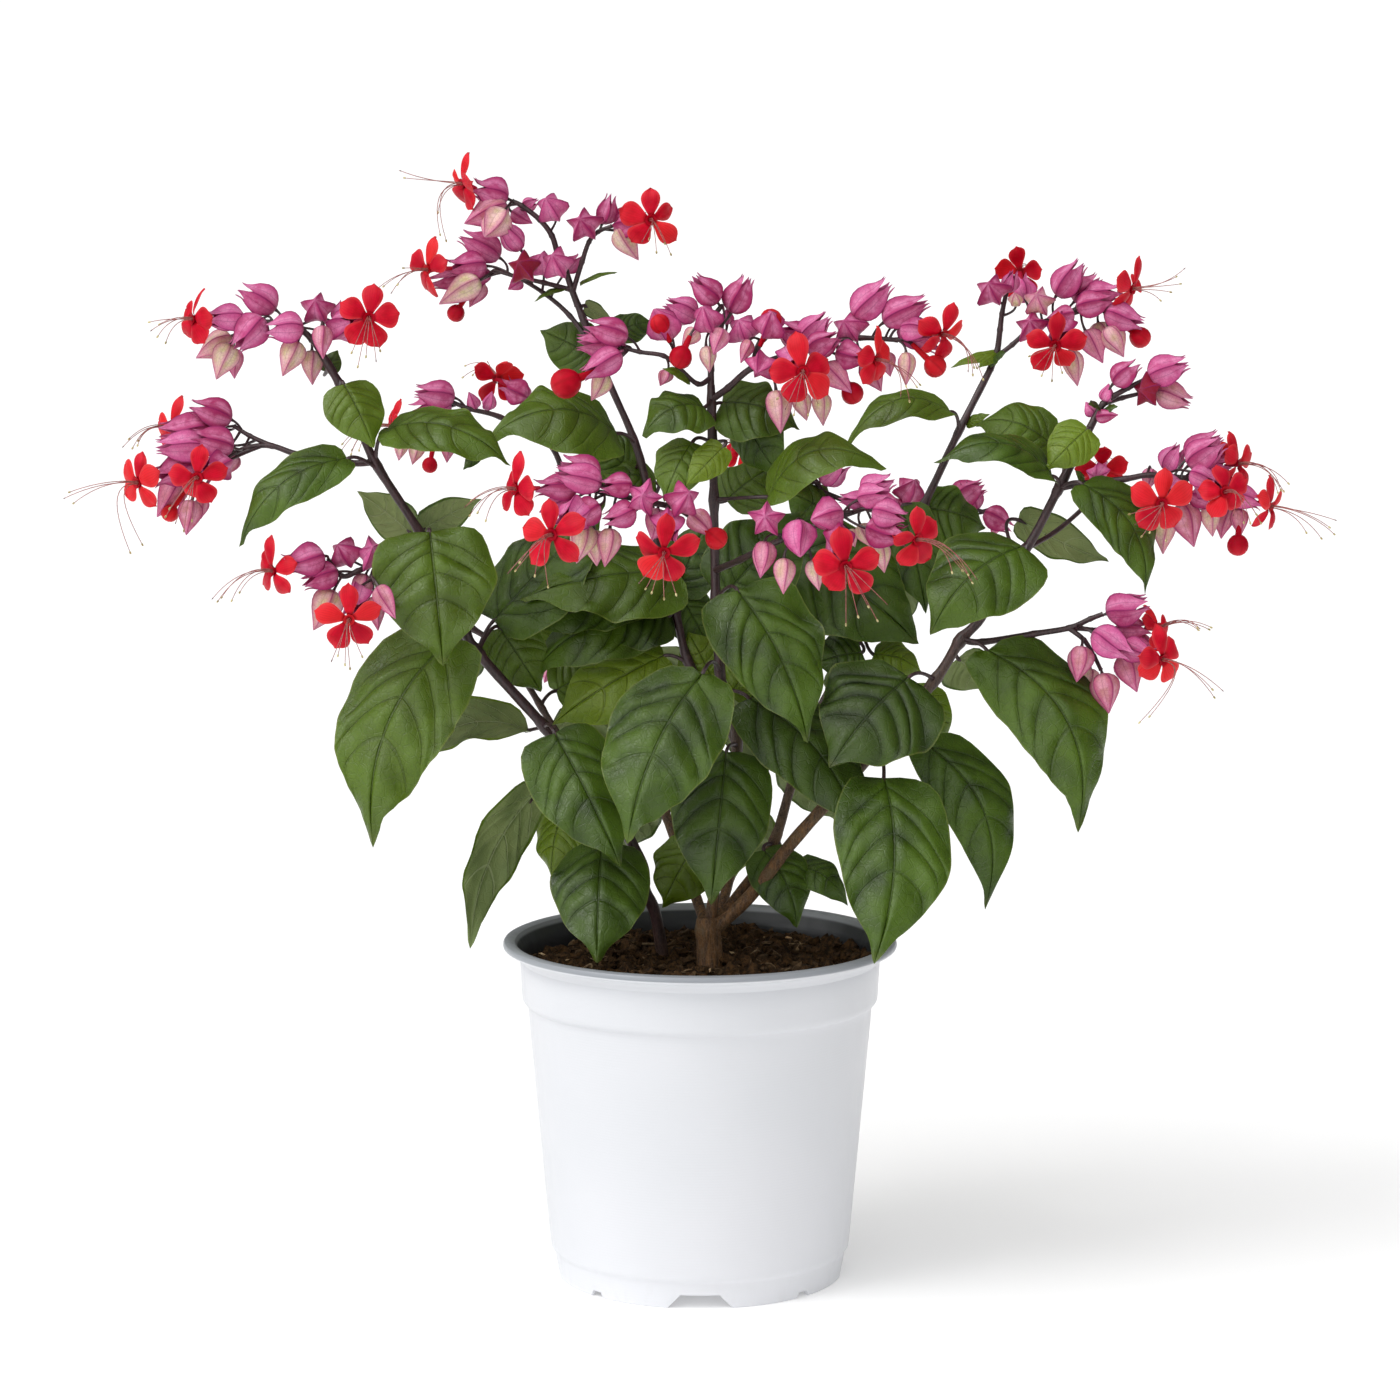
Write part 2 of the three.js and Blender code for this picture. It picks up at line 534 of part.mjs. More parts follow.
// A direction from a turn to the right of the viewer and a tilt upward, in degrees.
function facing(turn, tilt) {
  const around = THREE.MathUtils.degToRad(turn);
  const above = THREE.MathUtils.degToRad(tilt);
  return new THREE.Vector3(
    Math.sin(around) * Math.cos(above),
    -Math.cos(around) * Math.cos(above),
    Math.sin(above),
  );
}

// The part of a direction that is square to an axis, at length one.
function squareTo(direction, axis) {
  return direction.clone().addScaledVector(axis, -direction.dot(axis)).normalize();
}

// Some direction square to the axis, the same one each time.
function anySide(axis) {
  const guide = Math.abs(axis.z) < 0.9 ? new THREE.Vector3(0, 0, 1) : new THREE.Vector3(1, 0, 0);
  return squareTo(guide, axis);
}

function curveThrough(points) {
  return new THREE.CatmullRomCurve3(points, false, 'catmullrom', 0.5);
}

// Skins and solids.

// Joins two rings of corners, which may differ in number, by triangles facing outward.
function joinRings(faces, near, far) {
  let i = 0;
  let j = 0;
  const nearEnd = near.length > 1 ? near.length : 0;
  const farEnd = far.length > 1 ? far.length : 0;
  while (i < nearEnd || j < farEnd) {
    const stepNear = j >= farEnd || (i < nearEnd && i / near.length <= j / far.length);
    if (stepNear) {
      faces.push(near[i % near.length], near[(i + 1) % near.length], far[j % far.length]);
      i += 1;
    } else {
      faces.push(near[i % near.length], far[(j + 1) % far.length], far[j % far.length]);
      j += 1;
    }
  }
}

function capRing(faces, ring, outward) {
  for (let i = 1; i + 1 < ring.length; i += 1) {
    if (outward) {
      faces.push(ring[0], ring[i], ring[i + 1]);
    } else {
      faces.push(ring[0], ring[i + 1], ring[i]);
    }
  }
}

// Numbers the corners of a row of rings, closes the first ring and joins each to the next.
function addRings(points, faces, rings) {
  const numbered = rings.map((ring) => ring.map((point) => points.push(point) - 1));
  capRing(faces, numbered[0], false);
  for (let k = 0; k + 1 < numbered.length; k += 1) {
    joinRings(faces, numbered[k], numbered[k + 1]);
  }
  return numbered[numbered.length - 1];
}

// A closed solid from a row of rings; each ring is a list of points, or one point.
function skin(rings) {
  const points = [];
  const faces = [];
  capRing(faces, addRings(points, faces, rings), true);
  return solidOf(points, faces);
}

function solidOf(points, faces) {
  const numbers = new Float32Array(points.length * 3);
  points.forEach((point, i) => point.toArray(numbers, 3 * i));
  const mesh = new wasm.Mesh({ numProp: 3, vertProperties: numbers, triVerts: new Uint32Array(faces) });
  return new wasm.Manifold(mesh);
}

// A closed solid from a geometry whose seams are merged and whose poles are points.
function solidFrom(geometry) {
  geometry.deleteAttribute('normal');
  geometry.deleteAttribute('uv');
  const merged = mergeVertices(geometry, 1e-3);
  const corners = Array.from(merged.index.array);
  const faces = [];
  for (let i = 0; i < corners.length; i += 3) {
    const [a, b, c] = corners.slice(i, i + 3);
    if (a !== b && b !== c && c !== a) {
      faces.push(a, b, c);
    }
  }
  const mesh = new wasm.Mesh({
    numProp: 3,
    vertProperties: merged.attributes.position.array,
    triVerts: new Uint32Array(faces),
  });
  return new wasm.Manifold(mesh);
}

// A ring of corners round a middle, in the plane of two directions.
function ringAt(middle, side, other, radius, corners, turn = 0) {
  const ring = [];
  for (let i = 0; i < corners; i += 1) {
    const angle = turn + 2 * Math.PI * i / corners;
    ring.push(middle.clone()
      .addScaledVector(side, radius * Math.cos(angle))
      .addScaledVector(other, radius * Math.sin(angle)));
  }
  return ring;
}

// A tube along points, its sides carried from each point to the next without twist.
function tube(points, radii, corners) {
  const rings = [];
  let side = null;
  points.forEach((point, i) => {
    const before = points[Math.max(i - 1, 0)];
    const after = points[Math.min(i + 1, points.length - 1)];
    const along = after.clone().sub(before).normalize();
    side = side === null ? anySide(along) : squareTo(side, along);
    const other = along.clone().cross(side);
    rings.push(ringAt(point, side, other, radii[i], corners));
  });
  return skin(rings);
}

function evenRadii([first, last], count) {
  return Array.from({ length: count }, (_, i) => first + (last - first) * i / (count - 1));
}

function fuse(solids) {
  return solids.length === 1 ? solids[0] : wasm.Manifold.union(solids);
}

// The largest body of a solid: crumbs that a cut leaves over are dropped.
function largestBody(solid) {
  const bodies = solid.simplify(SLIVER).decompose();
  return bodies.reduce((most, body) => (body.volume() > most.volume() ? body : most));
}

function meshOf(name, solid, colour, roughness) {
  const { vertProperties, triVerts } = solid.getMesh();
  const geometry = new THREE.BufferGeometry();
  geometry.setAttribute('position', new THREE.BufferAttribute(vertProperties, 3));
  geometry.setIndex(new THREE.BufferAttribute(triVerts, 1));
  geometry.computeVertexNormals();
  const mesh = new THREE.Mesh(geometry, new THREE.MeshStandardMaterial({ color: colour, roughness }));
  mesh.name = name;
  return mesh;
}

// Pot and soil.

// A turned solid from its profile, which starts and ends on the axis.
function turned(profile, sides) {
  const corners = profile.map(([radius, height]) => new THREE.Vector2(radius, height));
  return solidFrom(new THREE.LatheGeometry(corners, sides).rotateX(Math.PI / 2));
}

// A wedge-sided block that cuts one notch through the foot ring.
function notchCutter({ wide, top, high }, angle) {
  const block = (width, height) => {
    const corners = [[50, -width / 2], [70, -width / 2], [70, width / 2], [50, width / 2]];
    return corners.map(([x, y]) => new THREE.Vector3(x, y, height)
      .applyAxisAngle(new THREE.Vector3(0, 0, 1), angle));
  };
  return skin([block(wide + 2 * (wide - top) / (2 * high), -1), block(top, high)]);
}

function buildPot() {
  let pot = turned([...POT_UNDERSIDE, ...POT_OUTSIDE, ...POT_INSIDE], POT_SIDES);
  const cutters = [];
  for (let i = 0; i < NOTCH.count; i += 1) {
    cutters.push(notchCutter(NOTCH, 2 * Math.PI * i / NOTCH.count));
  }
  for (let i = 0; i < SMALL_NOTCH.count; i += 1) {
    cutters.push(notchCutter(SMALL_NOTCH, 2 * Math.PI * (i + 0.5) / SMALL_NOTCH.count));
  }
  for (let i = 0; i < DRAIN.count; i += 1) {
    const angle = 2 * Math.PI * (i + 0.5) / DRAIN.count;
    const hole = new THREE.Vector3(DRAIN.ring * Math.cos(angle), DRAIN.ring * Math.sin(angle), 0);
    cutters.push(tube(
      [hole.clone().setZ(3), hole.clone().setZ(11)],
      [DRAIN.radius, DRAIN.radius],
      DRAIN.sides,
    ));
  }
  pot = pot.subtract(fuse(cutters));
  return meshOf('pot', pot, COLOURS.pot, 0.45);
}

// The height of the soil's surface: low mounds and hollows.
function soilHeight(x, y) {
  return SOIL_TOP + 1.6 * Math.sin(x / 13 + 0.7) * Math.cos(y / 11) + 1.0 * Math.sin((x + y) / 6.1)
    + 0.9 * Math.cos((x - 2 * y) / 8.3);
}

function buildSoil(holes) {
  const atTop = 75.1;
  const rings = [];
  rings.push([new THREE.Vector3(0, 0, 8 + GAP)]);
  const flat = (radius, height) => ringAt(
    new THREE.Vector3(0, 0, height),
    new THREE.Vector3(1, 0, 0),
    new THREE.Vector3(0, 1, 0),
    radius,
    SOIL_SIDES,
  );
  rings.push(flat(61.4, 8 + GAP));
  rings.push(flat(71.9, 118));
  rings.push(flat(74.6, 124.5));
  for (const radius of [atTop, 52, 26]) {
    rings.push(flat(radius, 0).map((point) => point.setZ(soilHeight(point.x, point.y))));
  }
  rings.push([new THREE.Vector3(0, 0, soilHeight(0, 0))]);
  const soil = skin(rings).subtract(fuse(holes));
  return meshOf('soil', largestBody(soil), COLOURS.soil, 0.95);
}

// Stems and leaves.

// Points along the smooth line of a stem or branch, as many as its path has.
function stemPoints(path) {
  return curveThrough(path.map(spot)).getPoints(Math.max(path.length - 1, 2));
}

// The place that is so many steps along a row of points.
function alongPoints(points, steps) {
  const before = Math.min(Math.floor(steps), points.length - 2);
  return points[before].clone().lerp(points[before + 1], steps - before);
}

function stemTube(path, thick, extra) {
  const points = stemPoints(path);
  if (extra > 0) {
    const end = points[points.length - 1];
    const along = end.clone().sub(points[points.length - 2]).normalize();
    end.addScaledVector(along, extra);
    points[0].addScaledVector(points[1].clone().sub(points[0]).normalize(), -extra);
  }
  const radii = evenRadii(thick, points.length).map((radius) => radius + extra);
  return tube(points, radii, 5);
}

// The point of a stem's middle line that is seen nearest to a column and row.
function onStem(path, column, row) {
  const points = stemPoints(path);
  const tries = PLACES_PER_STEP * (points.length - 1);
  let best = null;
  let least = Infinity;
  for (let i = 0; i <= tries; i += 1) {
    const point = alongPoints(points, i / PLACES_PER_STEP);
    const [x, y] = sighted(point);
    const miss = (x - column) ** 2 + (y - row) ** 2;
    if (miss < least) {
      least = miss;
      best = point;
    }
  }
  return best;
}

// How wide a blade is, from its foot to its tip, as a share of its full width.
const LEAF_OUTLINE = [[0.03, 0.5], [0.24, 0.98], [0.5, 0.93], [0.78, 0.46]];
const SMALL_LEAF_OUTLINE = [[0.06, 0.62], [0.38, 1.0], [0.72, 0.58]];

// A leaf with its stalk: six-cornered rings, so both faces of the blade fold alike.
function leafSolid(root, foot, tip, width, look, arch, bow) {
  const axis = tip.clone().sub(foot);
  const long = axis.length();
  axis.normalize();
  const up = squareTo(look, axis);
  const side = up.clone().cross(axis);
  const middleAt = (s) => foot.clone()
    .addScaledVector(axis, long * s)
    .addScaledVector(up, arch * 4 * s * (1 - s))
    .addScaledVector(side, bow * 4 * s * (1 - s));
  const points = [];
  const faces = [];
  const add = (point) => points.push(point) - 1;
  const stalkEnd = foot.clone().addScaledVector(axis, -0.02 * long);
  const reach = root.distanceTo(stalkEnd);
  const bend = stalkEnd.clone().addScaledVector(axis, -0.35 * reach).addScaledVector(up, 0.1 * reach);
  const stalk = new THREE.QuadraticBezierCurve3(root, bend, stalkEnd);
  const stations = reach > 16 ? [0, 0.5, 0.94] : [0, 0.94];
  let carried = up;
  const stalkRings = [];
  for (const t of stations.slice().reverse()) {
    const along = stalk.getTangent(t);
    carried = squareTo(carried, along);
    const other = carried.clone().cross(along);
    const thick = STALK_RADIUS * (t === 0 ? 0.6 : 1);
    stalkRings.unshift(ringAt(stalk.getPoint(t), other, carried, thick, 3, -Math.PI / 6).map(add));
  }
  capRing(faces, stalkRings[0], false);
  for (let k = 0; k + 1 < stalkRings.length; k += 1) {
    joinRings(faces, stalkRings[k], stalkRings[k + 1]);
  }
  const outline = width > WIDE_LEAF ? LEAF_OUTLINE : SMALL_LEAF_OUTLINE;
  const bladeRings = outline.map(([s, share]) => {
    const middle = middleAt(s);
    const half = 0.5 * width * share;
    const fold = -LEAF_FOLD * half;
    const corner = (across, lift) => add(middle.clone()
      .addScaledVector(side, across)
      .addScaledVector(up, lift));
    const thick = LEAF_THICK / 2;
    return [
      corner(half, fold + thick), corner(0, thick), corner(-half, fold + thick),
      corner(-half, fold - thick), corner(0, -thick), corner(half, fold - thick),
    ];
  });
  joinRings(faces, stalkRings[stalkRings.length - 1], bladeRings[0]);
  for (let k = 0; k + 1 < bladeRings.length; k += 1) {
    const a = bladeRings[k];
    const b = bladeRings[k + 1];
    for (let i = 0; i < 6; i += 1) {
      const n = (i + 1) % 6;
      if (i === 1 || i === 4) {
        faces.push(a[i], b[n], b[i], a[i], a[n], b[n]);
      } else {
        faces.push(a[i], a[n], b[i], a[n], b[n], b[i]);
      }
    }
  }
  joinRings(faces, bladeRings[bladeRings.length - 1], [add(middleAt(1))]);
  return solidOf(points, faces);
}

function leafFromRow(path, row) {
  const [atColumn, atRow, c1, r1, d1, c2, r2, d2, width, turn, tilt, arch, bow] = row;
  const root = onStem(path, atColumn, atRow);
  return leafSolid(root, spot([c1, r1, d1]), spot([c2, r2, d2]), width, facing(turn, tilt), arch, bow);
}

// The solid that clears room round a stem for a neighbour which starts at it.
function roomRound(name) {
  if (name === 'trunk') {
    return trunkSolid(GAP);
  }
  return stemTube(STEMS[name].path, STEMS[name].thick, GAP);
}

// A solid cleared of the stems that it grows from, which it meets with the gap.
function clearOf(solid, names) {
  const cleared = names.reduce((rest, name) => rest.subtract(roomRound(name)), solid);
  return largestBody(cleared);
}

function trunkSolid(extra) {
  const foot = spot(TRUNK.from);
  const top = spot(TRUNK.to);
  const along = top.clone().sub(foot).normalize();
  top.addScaledVector(along, extra);
  const middle = foot.clone().lerp(top, 0.55);
  const radii = [TRUNK.radius * 1.15, TRUNK.radius, TRUNK.radius * 0.92].map((radius) => radius + extra);
  return tube([foot, middle, top], radii, 8);
}

function buildStem(name) {
  const { path, thick, cutBy } = STEMS[name];
  const pieces = [stemTube(path, thick, 0), ...LEAVES[name].map((row) => leafFromRow(path, row))];
  return clearOf(fuse(pieces), cutBy);
}

// Sprays.

// Where a flower stalk leaves its spray: near the calyx's base and behind it, and apart
// from the stalks before it.
function forkFor(forks, base, axis) {
  const aim = base.clone().addScaledVector(axis, -ROOT_BEHIND);
  let best = null;
  let least = Infinity;
  for (const fork of forks) {
    const miss = fork.point.distanceTo(aim) + FORK_SHUN * fork.taken;
    if (miss < least) {
      least = miss;
      best = fork;
    }
  }
  best.taken += 1;
  return best.point;
}

// A calyx on its stalk. Closed: one point. Spread: five points with notches between
// them. Holding: cut off square where the tube of an open bloom comes out.
function calyxSolid(fork, base, tip, shape) {
  const axis = tip.clone().sub(base);
  const long = axis.length();
  axis.normalize();
  const side = anySide(axis);
  const other = axis.clone().cross(side);
  const wide = Math.min(CALYX.radius, CALYX.slim * Math.max(long, CALYX.shortest));
  const at = (share) => base.clone().addScaledVector(axis, long * share);
  const stalk = stalkRings(fork, base, axis, side, PEDICEL_RADIUS);
  const rings = [...stalk, ringAt(at(CALYX.widest), side, other, wide, 5)];
  if (shape === 'closed') {
    return skin([...rings, [at(1)]]);
  }
  if (shape === 'holding') {
    return skin([...rings, ringAt(at(1), side, other, CALYX.mouth, 5)]);
  }
  const points = [];
  const faces = [];
  const add = (point) => points.push(point) - 1;
  const keel = addRings(points, faces, rings);
  const notch = ringAt(at(CALYX.notch), side, other, wide * CALYX_SPREAD.notch, 5, Math.PI / 5).map(add);
  const spread = ringAt(at(1), side, other, wide * CALYX_SPREAD.point, 5).map(add);
  const heart = add(at(CALYX.heart));
  for (let i = 0; i < 5; i += 1) {
    const n = (i + 1) % 5;
    faces.push(keel[i], keel[n], notch[i]);
    faces.push(keel[i], notch[i], spread[i]);
    faces.push(keel[n], spread[n], notch[i]);
    faces.push(spread[i], notch[i], heart);
    faces.push(notch[i], spread[n], heart);
  }
  return solidOf(points, faces);
}

// The three-cornered rings of a flower stalk, from its root in the branch to the base of
// what it carries, which points along the axis.
function stalkRings(fork, base, axis, side, thick) {
  const chord = base.clone().sub(fork);
  const reach = chord.length();
  chord.normalize();
  const bend = base.clone().addScaledVector(axis, -0.4 * reach);
  const stalk = new THREE.QuadraticBezierCurve3(fork, bend, base);
  const stations = [[1, axis.clone().add(chord).normalize(), thick], [0, chord, ROOT_SHARE * PEDICEL_RADIUS]];
  if (reach > LONG_STALK) {
    stations.splice(1, 0, [0.5, chord, PEDICEL_RADIUS]);
  }
  const rings = [];
  let carried = side;
  for (const [t, along, radius] of stations) {
    carried = squareTo(carried, along);
    rings.unshift(ringAt(stalk.getPoint(t), carried, along.clone().cross(carried), radius, 3));
  }
  return rings;
}

// Where the calyx of an open bloom ends and the bloom's tube begins.
function calyxOfBloom(row) {
  const base = spot(row.slice(7, 10));
  const middle = spot(row.slice(0, 3));
  const away = middle.clone().sub(base);
  const long = Math.min(HOLDING.limit, HOLDING.share * away.length());
  return { base, middle, mouth: base.clone().addScaledVector(away.normalize(), long), out: away };
}

// A round bud at the end of its tube, on its stalk.
function budSolid(fork, from, middle, radius) {
  const along = middle.clone().sub(from).normalize();
  const side = anySide(along);
  const other = along.clone().cross(side);
  const round = (share, size) => ringAt(
    middle.clone().addScaledVector(along, radius * share), side, other, radius * size, 5);
  return skin([
    ...stalkRings(fork, from, along, side, TUBE_RADIUS),
    round(-0.35, 0.95), round(0.5, 0.85), [middle.clone().addScaledVector(along, radius)],
  ]);
}

function buildSpray(name) {
  const { cutBy, branches, calyces, buds, blooms = [] } = SPRAYS[name];
  const pieces = [];
  const forks = [];
  branches.forEach((path, k) => {
    const points = stemPoints(path);
    const thick = k === 0 ? SPRAY_THICK : BRANCH_THICK;
    pieces.push(tube(points, evenRadii(thick, points.length), 3));
    for (let i = 0; i < FORKS_PER_STEP * (points.length - 1); i += 1) {
      forks.push({ point: alongPoints(points, (i + 0.5) / FORKS_PER_STEP), taken: 0 });
    }
  });
  for (const [c1, r1, d1, c2, r2, nearer, open] of calyces) {
    const base = spot([c1, r1, d1]);
    const tip = spot([c2, r2, d1 - nearer]);
    const axis = tip.clone().sub(base).normalize();
    pieces.push(calyxSolid(forkFor(forks, base, axis), base, tip, open ? 'spread' : 'closed'));
  }
  for (const [c1, r1, d1, c2, r2, radius] of buds) {
    const from = spot([c1, r1, d1]);
    const middle = spot([c2, r2, d1 - 2]);
    const along = middle.clone().sub(from).normalize();
    pieces.push(budSolid(forkFor(forks, from, along), from, middle, radius));
  }
  for (const row of [...blooms, ...(BLOOMS[name] ?? [])]) {
    const { base, mouth, out } = calyxOfBloom(row);
    pieces.push(calyxSolid(forkFor(forks, base, out), base, mouth, 'holding'));
  }
  for (const row of blooms) {
    pieces.push(bloomSolid(row, -BLOOM_SUNK));
  }
  return clearOf(fuse(pieces), cutBy);
}

// Open blooms.

// A bloom: a slim tube that widens into a disc of five petals with their edges, and the
// long stamens, as one bundle that curves out and down from the throat.
function bloomSolid(row, gap) {
  const [, , , turn, tilt, spin, size] = row;
  const { middle, mouth, out } = calyxOfBloom(row);
  const look = facing(turn, tilt);
  const up = squareTo(new THREE.Vector3(0, 0, 1), look);
  const side = up.clone().cross(look);
  const start = mouth.clone().addScaledVector(out, gap);
  const neck = middle.clone().addScaledVector(look, -PETAL_THICK);
  const bend = middle.clone().addScaledVector(look, -0.45 * start.distanceTo(middle));
  const tubeLine = new THREE.QuadraticBezierCurve3(start, bend, neck);
  const reach = size / 2;
  const points = [];
  const faces = [];
  const add = (point) => points.push(point) - 1;
  const polar = (angle, radius, lift) => middle.clone()
    .addScaledVector(up, radius * Math.cos(angle))
    .addScaledVector(side, radius * Math.sin(angle))
    .addScaledVector(look, lift);
  // Rings of the tube start under the gap between two petals, as the disc's corners do.
  const first = THREE.MathUtils.degToRad(spin) + Math.PI / 5;
  const ringRound = (centre, along, radius) => {
    const top = squareTo(up, along);
    const flank = top.clone().cross(along);
    return [0, 1, 2, 3, 4].map((i) => {
      const angle = first - 2 * Math.PI * i / 5;
      return add(centre.clone()
        .addScaledVector(top, radius * Math.cos(angle))
        .addScaledVector(flank, radius * Math.sin(angle)));
    });
  };
  const stations = [[0, TUBE_RADIUS * 0.85], [0.6, TUBE_RADIUS * 1.1]];
  const tubeRings = stations.map(
    ([t, radius]) => ringRound(tubeLine.getPoint(t), tubeLine.getTangent(t), radius));
  capRing(faces, tubeRings[0], false);
  joinRings(faces, tubeRings[0], tubeRings[1]);
  const under = [];
  const over = [];
  for (let i = 0; i < 5; i += 1) {
    const angle = first - 2 * Math.PI * i / 5;
    under.push(add(polar(angle, THROAT_RADIUS, -PETAL_THICK)));
    over.push(add(polar(angle, THROAT_RADIUS, 0)));
  }
  joinRings(faces, tubeRings[1], under);
  const stamens = STAMEN_LINE.map(([ahead, drop, radius]) => [0, 1, 2].map((i) => {
    const angle = first - 2 * Math.PI * (i + 0.3) / 3;
    return add(middle.clone()
      .addScaledVector(look, ahead)
      .addScaledVector(up, radius * Math.cos(angle) - drop)
      .addScaledVector(side, radius * Math.sin(angle)));
  }));
  joinRings(faces, over, stamens[0]);
  for (let k = 0; k + 1 < stamens.length; k += 1) {
    joinRings(faces, stamens[k], stamens[k + 1]);
  }
  capRing(faces, stamens[stamens.length - 1], true);
  for (let i = 0; i < 5; i += 1) {
    const n = (i + 1) % 5;
    const line = first - 2 * Math.PI * (i + 0.5) / 5;
    const corners = [
      [line + PETAL.half, PETAL.widest * reach, PETAL.lift],
      [line, reach, -PETAL.drop],
      [line - PETAL.half, PETAL.widest * reach, PETAL.lift],
    ];
    const top = corners.map(([angle, radius, lift]) => add(polar(angle, radius, lift)));
    const low = corners.map(([angle, radius, lift]) => add(polar(angle, radius, lift - PETAL_THICK)));
    faces.push(over[i], top[0], top[2], over[i], top[2], over[n], top[0], top[1], top[2]);
    faces.push(under[i], low[2], low[0], under[i], under[n], low[2], low[0], low[2], low[1]);
    faces.push(under[i], low[0], over[i], low[0], top[0], over[i]);
    faces.push(low[0], low[1], top[0], low[1], top[1], top[0]);
    faces.push(low[1], low[2], top[1], low[2], top[2], top[1]);
    faces.push(low[2], under[n], top[2], under[n], over[n], top[2]);
  }
  return solidOf(points, faces);
}

// The whole plant.

const plant = new THREE.Group();
plant.name = 'potted_clerodendrum_speciosum';
plant.add(buildPot());
plant.add(buildSoil([roomRound('trunk'), roomRound('stem_left_outer')]));
plant.add(meshOf('trunk', trunkSolid(0), COLOURS.trunk, 0.85));
for (const name of Object.keys(STEMS)) {
  plant.add(meshOf(name, buildStem(name), COLOURS.stem, 0.55));
}
for (const name of Object.keys(SPRAYS)) {
  plant.add(meshOf(name, buildSpray(name), COLOURS.spray, 0.6));
}
for (const [name, rows] of Object.entries(BLOOMS)) {
  rows.forEach((row, i) => {
    const label = `${name.replace('spray', 'bloom')}_${i + 1}`;
    plant.add(meshOf(label, bloomSolid(row, GAP), COLOURS.bloom, 0.5));
  });
}

export default plant;
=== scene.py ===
# %% [markdown]
# # Potted clerodendrum speciosum
#
# The plant stands in a white grower's pot: a short woody trunk, nine leafy stems, and forked
# sprays of pink lantern calyces from which scarlet flowers hang their long stamens. The packed
# CAD model is the fixed frame. It gives the size and the place of every stem, spray and bloom,
# and it is loaded first. Each CAD node is then replaced by a finer surface in the same place.

# %%
import math

import bpy
import numpy as np
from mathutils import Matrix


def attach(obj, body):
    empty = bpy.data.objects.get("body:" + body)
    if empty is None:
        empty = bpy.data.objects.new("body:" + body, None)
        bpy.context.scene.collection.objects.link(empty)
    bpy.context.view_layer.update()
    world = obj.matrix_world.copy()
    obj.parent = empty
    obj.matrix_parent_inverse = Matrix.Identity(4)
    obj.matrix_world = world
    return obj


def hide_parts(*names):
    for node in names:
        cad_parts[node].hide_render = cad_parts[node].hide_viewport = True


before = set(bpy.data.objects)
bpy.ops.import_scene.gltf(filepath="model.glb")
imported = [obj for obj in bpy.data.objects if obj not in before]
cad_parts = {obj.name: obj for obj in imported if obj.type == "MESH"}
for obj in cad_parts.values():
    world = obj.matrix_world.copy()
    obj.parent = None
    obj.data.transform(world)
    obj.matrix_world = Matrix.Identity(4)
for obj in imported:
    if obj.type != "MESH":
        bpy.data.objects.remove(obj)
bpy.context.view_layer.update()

# %% [markdown]
# ## Where the viewer stands
#
# Places on the plant are noted as they are seen from the front: a column and a row of a
# 1400-square sighting grid, and a depth behind the middle of the pot in millimetres. The real
# plant could be measured with callipers, but a bush is far easier to note down from one fixed
# station. The camera stands at that station, so what is noted at a place is seen at that place.

# %% Sighting grid
SIGHT_DISTANCE, SIGHT_HEIGHT = 1745.0, 486.0
SIGHT_PITCH = math.radians(7.66)
SIGHT_FOCAL, SIGHT_GRID = 4102.0, 1400
SIGHT_MIDDLE = SIGHT_GRID / 2
SENSOR_WIDTH = 36


def table(text):
    """Rows of numbers by name: a colon ends each name, and a semicolon parts two rows."""
    found = {}
    for word in text.split():
        if word[-1] == ":":
            rows = found[word[:-1]] = [[]]
        elif word == ";":
            rows.append([])
        else:
            rows[-1].append(float(word))
    return found


def spot(places):
    """Points in millimetres of places: (column, row, depth), one after another.

    A sight line leaves the station through the grid's column and row, and the point is where
    it is as far behind the pot's middle as the depth says.
    """
    column, row, depth = np.asarray(places, float).reshape(-1, 3).T
    across = (column - SIGHT_MIDDLE) / SIGHT_FOCAL
    up = (SIGHT_MIDDLE - row) / SIGHT_FOCAL
    cos, sin = math.cos(SIGHT_PITCH), math.sin(SIGHT_PITCH)
    reach = (depth + SIGHT_DISTANCE) / (cos + up * sin)
    return np.stack([reach * across, depth, SIGHT_HEIGHT + reach * (up * cos - sin)], -1)


def sighted(points):
    """Column and row at which points in millimetres are seen: the sight line run backwards."""
    cos, sin = math.cos(SIGHT_PITCH), math.sin(SIGHT_PITCH)
    back, rise = points[..., 1] + SIGHT_DISTANCE, points[..., 2] - SIGHT_HEIGHT
    away = back * cos - rise * sin
    column = SIGHT_MIDDLE + SIGHT_FOCAL * points[..., 0] / away
    row = SIGHT_MIDDLE - SIGHT_FOCAL * (back * sin + rise * cos) / away
    return np.stack([column, row], -1)


camera = bpy.data.objects.new("station", bpy.data.cameras.new("station"))
bpy.context.scene.collection.objects.link(camera)
camera.location = (0, -SIGHT_DISTANCE / 1000, SIGHT_HEIGHT / 1000)
camera.rotation_euler = (math.radians(90) - SIGHT_PITCH, 0, 0)
camera.data.sensor_width = SENSOR_WIDTH
camera.data.lens = SENSOR_WIDTH * SIGHT_FOCAL / SIGHT_GRID
camera.data.clip_start, camera.data.clip_end = 0.05, 50
bpy.context.scene.camera = camera
print("lens", round(camera.data.lens, 1), "mm; pot foot seen at", sighted(np.zeros(3)).round(1))

# %% [markdown]
# ## Directions and smooth lines
#
# Stems and stalks are smooth lines through a few noted points. A spline through the points is
# chosen, because a grown stem passes its leaf nodes without a kink. A petal or a leaf also
# needs a direction that its face looks in, noted as a turn to the right and a tilt upward.


# %% Lines and directions
def unit(vectors):
    """Vectors at length one."""
    return vectors / np.maximum(np.linalg.norm(vectors, axis=-1, keepdims=True), 1e-9)


def square_to(direction, axis):
    """The part of a direction that is square to an axis, at length one."""
    return unit(direction - np.sum(direction * axis, -1, keepdims=True) * axis)


